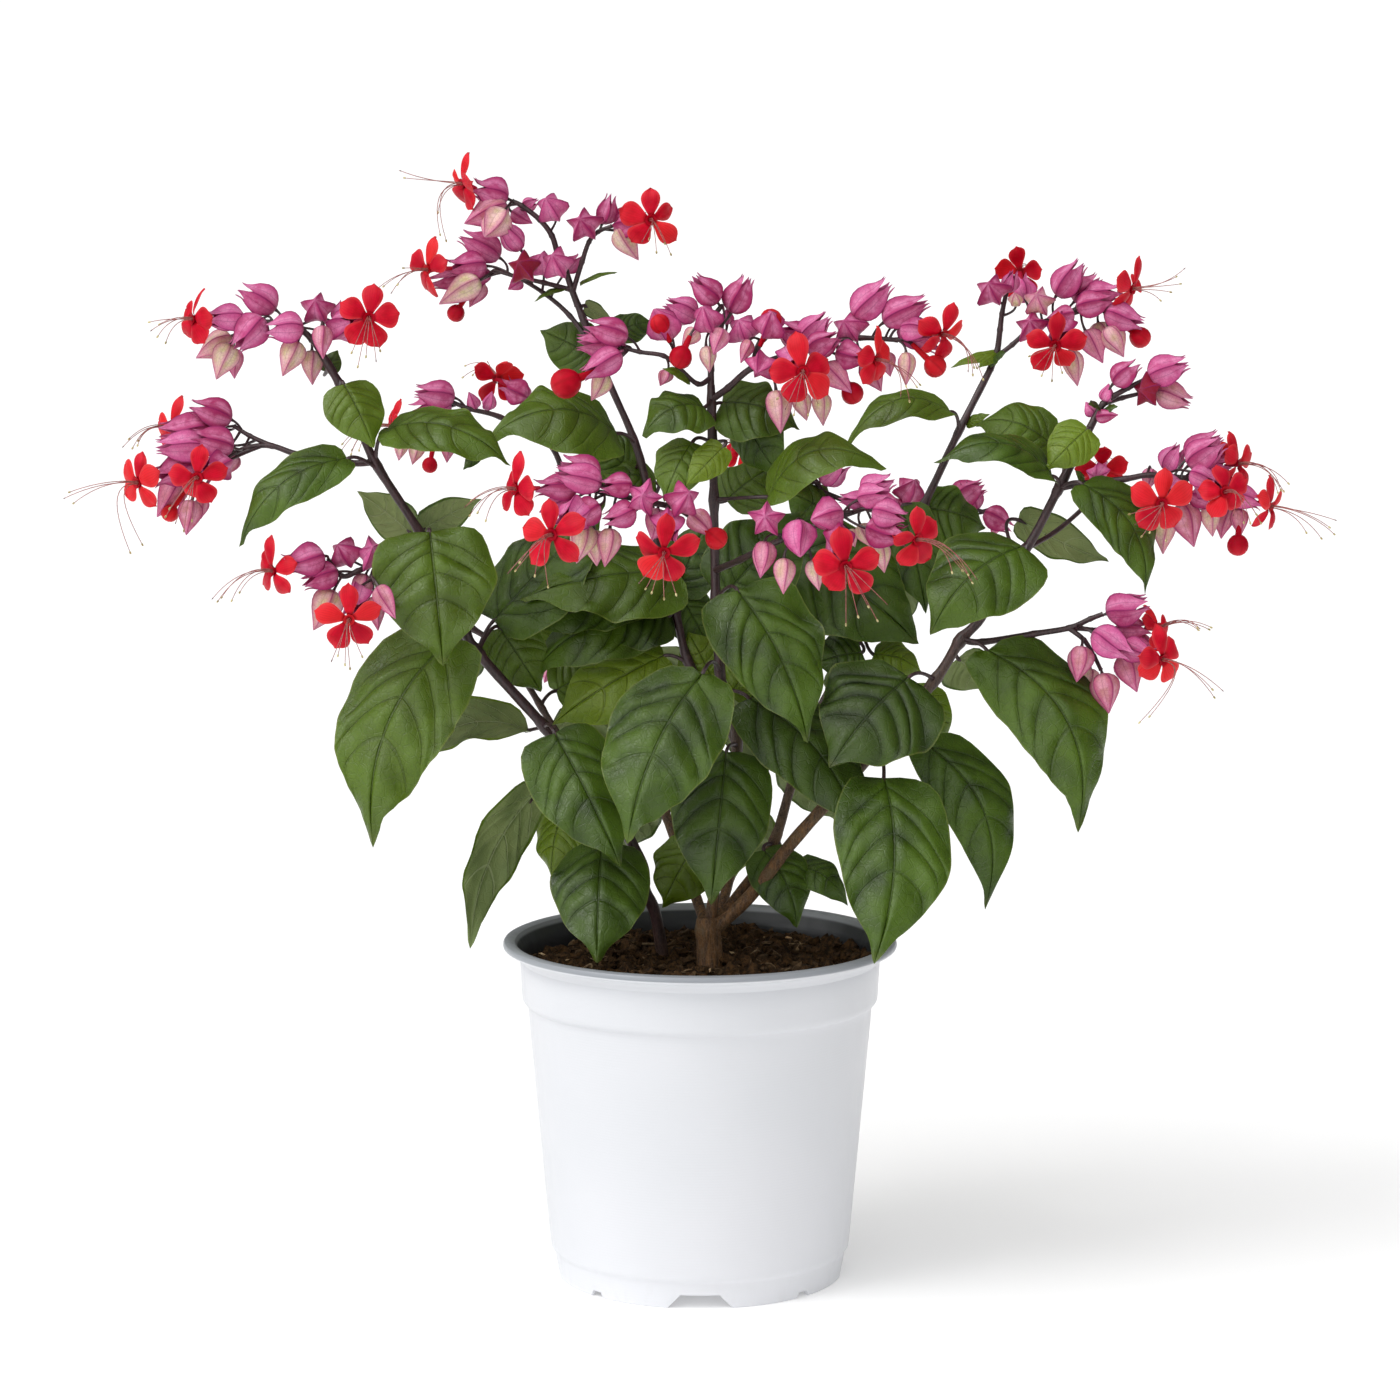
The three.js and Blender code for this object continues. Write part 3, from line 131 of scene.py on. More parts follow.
def any_side(axis):
    """One direction square to the axis: upward, unless the axis itself points up."""
    return square_to(np.array([0.0, 0, 1] if abs(axis[2]) < 0.9 else [1.0, 0, 0]), axis)


def facing(turn, tilt):
    """The direction at a turn to the right of the viewer and a tilt upward, in degrees."""
    around, above = math.radians(turn), math.radians(tilt)
    return np.array([math.sin(around) * math.cos(above), -math.cos(around) * math.cos(above),
                     math.sin(above)])


def smooth_line(points, steps):
    """A spline through the points, with so many steps between each two.

    Between two points it is the cubic whose slope at each point is half the way from the
    point before to the point after; past an end, the line goes straight on.
    """
    points = np.asarray(points, float)
    ends = np.vstack([2 * points[0] - points[1], points, 2 * points[-1] - points[-2]])
    slope = 0.5 * (ends[2:] - ends[:-2])
    t = np.linspace(0, 1, steps, endpoint=False)[None, :, None]
    a, b, m, n = points[:-1, None], points[1:, None], slope[:-1, None], slope[1:, None]
    line = ((2 * t**3 - 3 * t**2 + 1) * a + (t**3 - 2 * t**2 + t) * m
            + (3 * t**2 - 2 * t**3) * b + (t**3 - t**2) * n)
    return np.vstack([line.reshape(-1, 3), points[-1]])


def bow(start, bend, end, count):
    """A curve from start to end that is drawn towards bend: the parabola of three points."""
    t = np.linspace(0, 1, count)[:, None]
    return (1 - t) ** 2 * start + 2 * t * (1 - t) * bend + t**2 * end


print("a stem of three points gets", len(smooth_line(np.eye(3), 8)), "places")

# %% [markdown]
# ## From rings to pieces
#
# Nearly everything on this plant is a row of closed rings: a stem is rings along a line, a
# leaf is flat rings that run over its face and back along its underside, a calyx is rings of
# five keels. So one helper joins rings with four-sided faces and closes both ends in a point,
# and another writes many such bodies into one mesh at once. Sculpting or modifiers would do
# too, but whole arrays are quick, and each ring stays where the plant's layout says.


# %% Ring bodies
def body(rings, start=None, end=None, **values):
    """A closed body from rings of points, rings by corners by 3, in millimetres.

    Each ring is joined to the next, and the first and last to a middle point. Values are
    numbers per corner that the finishes read; the end points take the mean of their ring.
    """
    count, corners = rings.shape[:2]
    first = rings[0].mean(0) if start is None else start
    last = rings[-1].mean(0) if end is None else end
    index = np.arange(count * corners).reshape(count, corners)
    after = np.roll(index, -1, axis=1)
    sides = np.stack([index[:-1], after[:-1], after[1:], index[1:]], -1).reshape(-1, 4)
    near = np.stack([np.full(corners, count * corners), after[0], index[0]], -1)
    far = np.stack([np.full(corners, count * corners + 1), index[-1], after[-1]], -1)
    spread = {}
    for key, value in values.items():
        grid = np.broadcast_to(np.asarray(value, float), (count, corners))
        spread[key] = np.concatenate([grid.ravel(), [grid[0].mean(), grid[-1].mean()]])
    return {"points": np.vstack([rings.reshape(-1, 3), first, last]), "sides": sides,
            "ends": np.vstack([near, far]), "values": spread}


def over_and_under(face, lift, thick):
    """Rings of a thin blade from its upper face, rows by columns by 3.

    Each ring runs over the face and back along the underside, which lies below the face by
    the thickness; at both margins the two meet in one sharp edge.
    """
    under = face - lift * np.asarray(thick)[..., None]
    return np.concatenate([face, under[:, -2:0:-1]], axis=1)


def both_faces(grid, under=None):
    """The same numbers, or others, for the corners of a blade's rings."""
    return np.concatenate([grid, (grid if under is None else under)[:, -2:0:-1]], axis=1)


def make_piece(name, bodies, finish, nodes, crease=50):
    """One mesh of all the bodies, in metres, with its finish, riding in place of CAD nodes."""
    start = np.cumsum([0] + [len(one["points"]) for one in bodies])
    points = np.vstack([one["points"] for one in bodies]) * 0.001
    sides = np.vstack([one["sides"] + at for one, at in zip(bodies, start)])
    ends = np.vstack([one["ends"] + at for one, at in zip(bodies, start)])
    mesh = bpy.data.meshes.new(name)
    mesh.vertices.add(len(points))
    mesh.vertices.foreach_set("co", points.astype(np.float32).ravel())
    mesh.loops.add(sides.size + ends.size)
    loops = np.concatenate([sides.ravel(), ends.ravel()]).astype(np.int32)
    mesh.loops.foreach_set("vertex_index", loops)
    mesh.polygons.add(len(sides) + len(ends))
    starts = np.concatenate([np.arange(len(sides)) * 4, sides.size + np.arange(len(ends)) * 3])
    mesh.polygons.foreach_set("loop_start", starts.astype(np.int32))
    mesh.update(calc_edges=True)
    for key in bodies[0]["values"]:
        numbers = np.concatenate([one["values"][key] for one in bodies]).astype(np.float32)
        mesh.attributes.new(key, "FLOAT", "POINT").data.foreach_set("value", numbers)
    mesh.polygons.foreach_set("use_smooth", np.ones(len(mesh.polygons), bool))
    mesh.set_sharp_from_angle(angle=math.radians(crease))
    mesh.materials.append(finish)
    piece = bpy.data.objects.new(name, mesh)
    bpy.context.scene.collection.objects.link(piece)
    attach(piece, "root")
    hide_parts(*nodes)
    made[name] = 2 * len(sides) + len(ends)


made = {}
print("helpers for rings ready")

# %% [markdown]
# ## Tubes
#
# Stems, stalks and stamens are tubes. A curve object with a bevel would draw them, but a stem
# here swells at its nodes and carries its own numbers for the finish, so the rings are worked
# out directly. The rings must not twist: they are turned by the one direction that the line's
# own slopes point along least.


# %% Tube rings
def tube(line, radius, corners, **values):
    """A tube along a line: at each place a ring of that radius, square to the line's slope."""
    along = unit(np.gradient(line, axis=0))
    guide = np.linalg.svd(along, full_matrices=False)[2][-1]
    side = square_to(guide[None], along)
    other = np.cross(along, side)
    angle = np.arange(corners) * 2 * np.pi / corners
    radius = np.asarray(radius, float)
    radius = np.broadcast_to(radius[:, None] if radius.ndim == 1 else radius, (len(line), corners))
    spoke = (np.cos(angle)[None, :, None] * side[:, None]
             + np.sin(angle)[None, :, None] * other[:, None])
    return body(line[:, None] + radius[..., None] * spoke, line[0], line[-1], **values)


def between(first, last, count):
    """Numbers that change evenly from first to last."""
    return np.linspace(first, last, count)


def hump(place, middle, width):
    """One at the middle, falling off to nothing over the width on both sides."""
    return np.exp(-((place - middle) / width) ** 2)


print("a tube of 8 corners has", 2 * 8 * 10, "triangles in ten steps")

# %% [markdown]
# ## Tools for the finishes
#
# Every finish is a small network of nodes: a pattern, colours laid over it, and a bump. The
# class below adds a node in one short line, so that a finish can be read as a recipe. A number
# that is the same all over a surface is written on the shader itself.


# %% Finish helper
def shade(code):
    """Linear colour of a colour code of six letters and digits, as a paint chart gives it."""
    parts = np.array([int(code[i:i + 2], 16) for i in (0, 2, 4)]) / 255
    linear = np.where(parts <= 0.04045, parts / 12.92, ((parts + 0.055) / 1.055) ** 2.4)
    return (*linear.tolist(), 1.0)


class Finish:
    """A material that is put together step by step."""

    def __init__(self, name, **settings):
        self.material = bpy.data.materials.new(name)
        self.material.use_nodes = True
        self.tree = self.material.node_tree
        self.shader = self.tree.nodes["Principled BSDF"]
        for socket, value in settings.items():
            self.shader.inputs[socket.replace("_", " ")].default_value = value
        self.place = self.add("ShaderNodeTexCoord").outputs["Object"]

    def add(self, kind, inputs=(), **settings):
        """A node, its settings, and what goes into its sockets: numbers, colour codes or links."""
        node = self.tree.nodes.new(kind)
        for key, value in settings.items():
            setattr(node, key, value)
        for key, value in dict(inputs).items():
            if isinstance(value, bpy.types.NodeSocket):
                self.tree.links.new(value, node.inputs[key])
            elif value is not None:
                node.inputs[key].default_value = shade(value) if isinstance(value, str) else value
        return node

    def number(self, name):
        """A number that the mesh carries."""
        return self.add("ShaderNodeAttribute", attribute_name=name).outputs["Fac"]

    def sum(self, kind, a, b=None):
        """One step of arithmetic."""
        return self.add("ShaderNodeMath", {0: a, 1: b}, operation=kind).outputs[0]

    def times(self, a, b):
        """The product of two numbers."""
        return self.sum("MULTIPLY", a, b)

    def noise(self, scale, detail=3, place=None, rough=0.5):
        """Cloudy pattern; scale is in clouds per metre."""
        node = self.add("ShaderNodeTexNoise", {"Vector": place or self.place, "Scale": scale,
                                               "Detail": detail, "Roughness": rough})
        return node.outputs["Fac"]

    def cells(self, scale, place=None):
        """Distance to the nearest wall of a pattern of cells."""
        node = self.add("ShaderNodeTexVoronoi", {"Vector": place or self.place, "Scale": scale},
                        feature="DISTANCE_TO_EDGE")
        return node.outputs["Distance"]

    def stretched(self, x, y, z):
        """The place in space, stretched by a factor along each axis."""
        return self.add("ShaderNodeMapping", {"Vector": self.place, "Scale": (x, y, z)}).outputs[0]

    def steps(self, value, low, high, to_low=0.0, to_high=1.0):
        """Carries low to high over to new ends, smoothly, and stops there."""
        sockets = ("Value", "From Min", "From Max", "To Min", "To Max")
        return self.add("ShaderNodeMapRange", zip(sockets, (value, low, high, to_low, to_high)),
                        interpolation_type="SMOOTHSTEP").outputs[0]

    def mix(self, share, a, b):
        """The first colour, with that share of the second laid over it."""
        return self.add("ShaderNodeMix", {0: share, 6: a, 7: b}, data_type="RGBA").outputs[2]

    def lay(self, base, colour, value, low, high, most=1.0):
        """The base with a colour over it: none where a value is low, most where it is high."""
        return self.mix(self.steps(value, low, high, 0.0, most), base, colour)

    def bump(self, height, depth, share=1.0, over=None):
        """Unevenness of a depth in metres, laid over another bump."""
        inputs = {"Height": height, "Distance": depth, "Strength": share, "Normal": over}
        return self.add("ShaderNodeBump", inputs).outputs[0]

    def wear(self, colour=None, roughness=None, normal=None):
        """Links what varies over the surface to the shader, and gives the material back."""
        for socket, value in (("Base Color", colour), ("Roughness", roughness), ("Normal", normal)):
            if value is not None:
                self.tree.links.new(value, self.shader.inputs[socket])
        return self.material


print("finish helper ready")

# %% [markdown]
# ## Pot
#
# A grower's pot is blown or moulded from thin white plastic: a tapered wall, a wider collar
# under a rolled lip, and a foot ring with notches that let water away. It is turned from one
# profile, as on a lathe. The notches can't come from a lathe, so the lowest rings are lifted
# where a notch passes: four wide notches and four small ones between them.

# %% Pot shape
# From the middle of the underside, up the outside and down the inside: radius and height.
POT = table("""
under: 10 6 ; 34 6 ; 57 6 ; 58.8 5.5 ; 59.3 3.4 ; 59.6 1.2 ; 60.2 .2
outside: 61.6 0 ; 62.1 .5 ; 62.4 3.2 ; 62.7 6.2 ; 63.1 9.4 ; 63.3 10.7 ; 63.7 11.5 ; 64.5 12.3 ;
  64.9 13 ; 65 14.2 ; 65.6 20 ; 67.3 39 ; 69.2 60 ; 71 80 ; 72.8 100 ; 73.9 112 ; 74.3 117 ; 74.5
  118.8 ; 75 120 ; 76.3 121 ; 76.85 121.9 ; 77 123.4 ; 77.4 131 ; 77.75 138 ; 77.5 138.6 ; 77.5
  139.1 ; 77.9 139.7 ; 78 140.6 ; 78.6 141.8 ; 79.8 142.9 ; 82.2 143.6 ; 84.2 144 ; 84.9 144.5 ;
  85.1 145.3 ; 85 146.2 ; 84.5 147 ; 83.6 147.4 ; 82.4 147.5 ; 81 147.3 ; 80 146.8 ; 79.4 145.9
inside: 78.6 144.2 ; 77.4 142.2 ; 76.7 140.5 ; 76.3 137 ; 75.7 125.4 ; 75.3 123.8 ; 73.2 119 ;
  72.8 117 ; 71 96 ; 69 74 ; 66.6 48 ; 64 22 ; 61.9 10.4 ; 61.2 8.6 ; 60.2 8 ; 36 8 ; 10 8
""")
FOOT_RADIUS = 62


def foot_lift(angle):
    """How far the foot is cut away at angles round the pot, in millimetres.

    A wide notch is a trapezium 28 wide at the floor, 16.5 at its top and 6 high, every
    quarter turn; a small one of 7, 4.5 and 2.6 stands halfway between.
    """
    cut = np.zeros_like(angle)
    for at, wide, top, high in ((0, 14, 8.25, 6), (math.pi / 4, 3.5, 2.25, 2.6)):
        apart = (angle - at + math.pi / 4) % (math.pi / 2) - math.pi / 4
        slope = (wide - FOOT_RADIUS * np.abs(apart)) / (wide - top)
        cut = np.maximum(cut, high * np.clip(slope, 0, 1))
    return cut


corner = np.array([2.25, 3.5, 3.7, 8.0, 8.25, 8.5, 13.7, 14, 14.3]) / FOOT_RADIUS
angles = [np.arange(192) * math.pi / 96]
for sign in (-1, 1):
    angles += [at + sign * corner[:3] for at in math.pi / 4 * np.arange(1, 8, 2)]
    angles += [at + sign * corner[3:] for at in math.pi / 2 * np.arange(4)]
angles = np.unique(np.round(np.concatenate(angles) % (2 * math.pi), 5))
profile = np.array(sum(POT.values(), []))
height = np.maximum(profile[:, 1, None], foot_lift(angles)[None])
height = np.where(profile[:, 1, None] < 7, height, profile[:, 1, None])
radius = np.repeat(profile[:, 0, None], len(angles), axis=1)
pot_rings = np.stack([radius * np.cos(angles), radius * np.sin(angles), height], -1)
ring_number = np.arange(len(profile))
inside = len(profile) - len(POT["inside"])
greyed = 0.5 * (ring_number >= inside - 8)[:, None] + 0.5 * (ring_number >= inside)[:, None]
print("pot rings", pot_rings.shape[:2], "height", pot_rings[..., 2].max())

# %% [markdown]
# ## White plastic
#
# The wall is white with a cool, satin gloss. The lip and the inside are the grey inner layer
# of a two-layer pot, which the mesh marks with a number. Real moulded plastic isn't even: fine
# rings from the mould, a faint cloudiness and small scuffs near the foot break its highlights.

# %% White plastic finish
plastic = Finish("white_moulded_plastic", Roughness=0.36, IOR=1.5)
scuff = plastic.noise(240, 5, plastic.stretched(1, 1, 0.25))
cloud = plastic.noise(9, 2)
foot = plastic.add("ShaderNodeSeparateXYZ", {0: plastic.place}).outputs["Z"]
dirt = plastic.times(plastic.steps(foot, 0.02, 0.0), plastic.steps(scuff, 0.5, 0.75))
white = plastic.lay("D9DBDF", "DFE0E4", cloud, 0.3, 0.7)
white = plastic.mix(plastic.times(dirt, 0.12), white, "C9C8C6")
inner = plastic.number("inner")
grey = plastic.lay("92969C", "A0A4A9", cloud, 0.3, 0.7)
grey = plastic.lay(grey, "35373B", inner, 0.55, 0.95)
white = plastic.lay(white, grey, inner, 0.1, 0.45)
rings_seen = plastic.sum("SINE", plastic.times(foot, 5200.0))
relief = plastic.bump(rings_seen, 0.00002, 0.35)
relief = plastic.bump(scuff, 0.00005, 0.25, relief)
gloss = plastic.steps(scuff, 0.3, 0.8, 0.3, 0.48)
plastic_finish = plastic.wear(white, gloss, relief)
pot_bodies = [body(pot_rings, inner=greyed)]
make_piece("grower_pot", pot_bodies, plastic_finish, ["pot"], 28)
print("pot", made["grower_pot"], "triangles")

# %% [markdown]
# ## Soil
#
# Potting soil is dark peat with fibres, crumbs and pale chips of bark. A displaced disc alone
# looks like a carpet, and thousands of loose grains cost too much. So the mass of it is one
# filled body with a lumpy top, and some hundreds of small crumbs of a few faces lie on that.


# %% Soil surface
SOIL_LEVEL, SOIL_RADIUS, SOIL_CORNERS = 136.5, 75.0, 150


def soil_height(x, y):
    """Height of the soil: its level plus three slow waves, in millimetres."""
    return (SOIL_LEVEL + 1.6 * np.sin(x / 13 + 0.7) * np.cos(y / 11) + np.sin((x + y) / 6.1)
            + 0.9 * np.cos((x - 2 * y) / 8.3))


def rough(points, seed, waves=26, finest=2.2, coarsest=11):
    """A number per point from many crossing waves of random direction, length and phase."""
    dice = np.random.default_rng(seed)
    way = unit(dice.normal(size=(waves, 3)))
    length = coarsest * (finest / coarsest) ** dice.random(waves)
    phase = dice.random(waves) * 2 * np.pi
    turns = points @ (way / length[:, None]).T * 2 * np.pi + phase
    return np.sum(np.sin(turns) * length, -1) / coarsest


turn = np.arange(SOIL_CORNERS) * 2 * np.pi / SOIL_CORNERS
shares = np.linspace(1, 0.02, 46)
flat = np.stack([np.cos(turn), np.sin(turn)], -1)
mound = SOIL_RADIUS * shares[:, None, None] * flat[None]
top = soil_height(mound[..., 0], mound[..., 1])
top = top + 0.9 * rough(np.dstack([mound, 0 * mound[..., :1]]), 5)
top = top + np.where(shares[:, None] > 0.97, -0.9, 0)
side_rings = [np.dstack([radius * flat[None], np.full((1, SOIL_CORNERS, 1), level)])
              for radius, level in ((20, 8.4), (59.6, 8.4), (61.4, 11), (71.8, 118), (74.5, 124.4))]
soil_rings = np.concatenate(side_rings + [np.dstack([mound, top])])
print("soil", soil_rings.shape[:2], "top from", top.min().round(1), "to", top.max().round(1))

# %% Crumbs and chips
def crumbs(count, sizes, flatness, tone, seed):
    """Small lumps of three rings of five corners, each turned, squeezed and laid on the soil."""
    dice = np.random.default_rng(seed)
    away, around = 73 * np.sqrt(dice.random(count)), dice.random(count) * 2 * np.pi
    x, y = away * np.cos(around), away * np.sin(around)
    size = sizes[0] + (sizes[1] - sizes[0]) * dice.random(count) ** 2
    level = np.array([-0.6, 0.0, 0.6])
    spread = np.array([0.7, 1.0, 0.65])
    angle = np.arange(5) * 2 * np.pi / 5
    lump = np.stack([spread[:, None] * np.cos(angle), spread[:, None] * np.sin(angle),
                     np.repeat(level[:, None], 5, 1)], -1)
    lump = lump[None] * (1 + 0.35 * dice.normal(size=(count, 3, 5, 1)))
    lump = lump * np.stack([np.ones(count), 0.25 + 0.7 * dice.random(count),
                            flatness * (0.6 + 0.6 * dice.random(count))], -1)[:, None, None]
    spin, lean = dice.random(count) * 2 * np.pi, dice.normal(size=count) * 0.5
    cs, sn, cl, sl = np.cos(spin), np.sin(spin), np.cos(lean), np.sin(lean)
    matrix = np.stack([np.stack([cs * cl, -sn, cs * sl], -1), np.stack([sn * cl, cs, sn * sl], -1),
                       np.stack([-sl, 0 * cl, cl], -1)], 1)
    lump = np.einsum("nij,nrcj->nrci", matrix, lump) * size[:, None, None, None]
    place = np.stack([x, y, soil_height(x, y) + 0.35 * size * flatness + 0.4], -1)
    shades = tone[0] + (tone[1] - tone[0]) * dice.random(count)
    return [body(one + at, tone=value) for one, at, value in zip(lump, place, shades)]


def fibres(count, seed):
    """Thin roots that arch over the soil: each a bow between two places close together."""
    dice = np.random.default_rng(seed)
    found = []
    for _ in range(count):
        away, around, course = dice.random(), dice.random() * 6.283, dice.random() * 6.283
        away = 68 * math.sqrt(away)
        start = np.array([away * math.cos(around), away * math.sin(around)])
        way = np.array([math.cos(course), math.sin(course)])
        stop = start + (4 + 15 * dice.random() ** 1.5) * way
        stop = stop * min(1, 71 / max(np.hypot(*stop), 1))
        ends = np.array([[*p, soil_height(*p) + 0.5] for p in (start, stop)])
        bend = ends.mean(0) + dice.normal(size=3) * [3, 3, 1] + [0, 0, 1.5 + 2 * dice.random()]
        found.append(tube(bow(ends[0], bend, ends[1], 6), 0.16 + 0.34 * dice.random() ** 2, 4,
                          tone=0.05 + 0.5 * dice.random() ** 2))
    return found


grains = crumbs(760, (0.7, 3.6), 0.8, (0.0, 0.3), 21)
grains += crumbs(70, (1.0, 3.6), 0.45, (0.25, 0.5), 22)
grains += crumbs(34, (0.9, 3.0), 0.35, (0.75, 1.0), 23) + fibres(190, 24)
print(len(grains), "crumbs, chips and fibres")

# %% Soil finish
peat = Finish("potting_soil", Roughness=0.93, Specular_IOR_Level=0.2)
clumps = peat.noise(420, 5, rough=0.7)
damp = peat.noise(60, 3)
colour = peat.lay("1E1308", "553C22", clumps, 0.35, 0.68)
colour = peat.lay(colour, "20140A", damp, 0.5, 0.7, 0.5)
pale = peat.lay("A98055", "D9C4A0", clumps, 0.3, 0.7)
colour = peat.lay(colour, pale, peat.number("tone"), 0.15, 1.0)
soil_bump = peat.bump(clumps, 0.0012, 0.8)
soil_bump = peat.bump(peat.noise(1600, 3), 0.0004, 0.6, soil_bump)
soil_finish = peat.wear(colour, None, soil_bump)
make_piece("soil_mass", [body(soil_rings, tone=0.08)], soil_finish, ["soil"], 60)
make_piece("soil_crumbs", grains, soil_finish, ["soil"], 35)
print("soil", made["soil_mass"], "crumbs", made["soil_crumbs"], "triangles")

# %% [markdown]
# ## Trunk
#
# The stems spring from a short stub of old wood, tan and ridged along the grain, cut flat on
# top. A plain cylinder would look turned, so the rings wander and carry long ridges, and the
# foot flares into the soil.

# %% Trunk shape
TRUNK_FROM, TRUNK_TO, TRUNK_RADIUS = [708, 985, -6], [709, 917, -5], 5.2
ends = spot([TRUNK_FROM, TRUNK_TO])
share = between(0, 1, 30)
trunk_line = ends[0] + share[:, None] * (ends[1] - ends[0])
trunk_line[:, 0] += 0.5 * np.sin(share * 5)
around = np.arange(28) * 2 * np.pi / 28
ridges = (0.3 * np.sin(5 * around + 1)[None] + 0.22 * np.sin(9 * around[None] + 4 * share[:, None])
          + 0.14 * np.sin(14 * around[None] - 7 * share[:, None]))
girth = TRUNK_RADIUS * (1.0 + 0.16 * (1 - share) ** 2 - 0.05 * share)[:, None] + ridges
girth = girth + 0.8 * hump(share, 0.8, 0.09)[:, None] * (1 + np.cos(around + 1))[None] * 0.5
girth = np.where(share[:, None] > 0.985, girth * 0.86, girth)
trunk_body = tube(trunk_line, girth, 28, young=0.0)
print("trunk from", ends[0].round(), "to", ends[1].round())

# %% Bark finish
bark = Finish("bark", Roughness=0.62)
grain = bark.noise(700, 5, bark.stretched(1, 1, 0.12), 0.65)
blotch = bark.noise(120, 3)
youth = bark.number("young")
old = bark.lay("3A2612", "80592F", grain, 0.35, 0.7)
old = bark.lay(old, "5F4C30", blotch, 0.5, 0.75)
mid = bark.lay("32241C", "5C4634", grain, 0.3, 0.75)
young = bark.lay("25161A", "44292F", grain, 0.3, 0.75)
skin = bark.lay(old, mid, youth, 0.0, 0.4)
skin = bark.lay(skin, young, youth, 0.4, 1.0)
specks = bark.steps(bark.cells(900, bark.stretched(1, 1, 0.5)), 0.12, 0.0)
skin = bark.mix(bark.times(specks, bark.steps(youth, 0.3, 1.0, 0.3, 0.08)), skin, "8A7360")
bark_bump = bark.bump(bark.times(grain, bark.steps(youth, 0.2, 1.0, 1.0, 0.35)), 0.0006, 0.55)
bark_finish = bark.wear(skin, bark.steps(youth, 0.0, 1.0, 0.72, 0.42), bark_bump)
make_piece("trunk_stub", [trunk_body], bark_finish, ["trunk"])
print("trunk", made["trunk_stub"], "triangles")

# %% [markdown]
# ## Stems
#
# Nine stems fan out from the trunk. Each is noted as points along its line and a thickness at
# both ends. Where a pair of leaves leaves it, a stem swells to a node, and its young part is
# slightly four-sided. The dark skin of the young wood is the same bark, further up.

# %% Stem table
# Of each stem: its half thickness at the foot and at the end; the points along it (column, row,
# depth).
STEMS = table("""
stem_centre: 2.4 1.6 ; 710 922 -4 722 840 -2 737 745 0 722 690 0 716 600 0 714 500 0 711 385 0
stem_left_inner: 1.9 1.35 ; 737 745 0 716 700 9 689 664 14 675 610 20 660 560 26 640 458 36 609
  382 42 578 306 46
stem_left_outer: 2.6 1.5 ; 668 990 16 656 917 14 645 890 12 640 860 10 600 790 6 545 727 0 480 655
  -6 462 625 -8 427 545 -10 375 462 -12 348 400 -12 318 347 -12
stem_left_back: 1.5 1.2 ; 600 790 6 575 758 14 553 726 20 520 672 28 507 651 32 470 627 38
stem_right_outer: 2.8 1.55 ; 709 934 -5 750 896 -6 790 845 -8 830 800 -10 880 745 -12 935 680 -12
  960 641 -12 982 616 -12 1000 570 -10 1026 549 -8 1059 488 -4 1094 420 0
stem_right_inner: 2.4 1.6 ; 709 930 -5 742 890 6 773 844 12 792 783 20 815 720 30 855 644 42 868
  623 46 923 507 60 936 480 64 959 431 70 990 370 78
stem_right_side: 1.2 1 ; 1026 549 -8 1055 532 6 1083 508 14 1092 494 16
stem_back_left: 2.3 1.5 ; 708 932 -5 690 880 24 660 800 50 620 700 74 590 620 90 575 570 98
stem_back_right: 2.3 1.5 ; 709 944 -5 722 905 24 752 800 52 795 700 76 828 610 94 845 545 102
""")

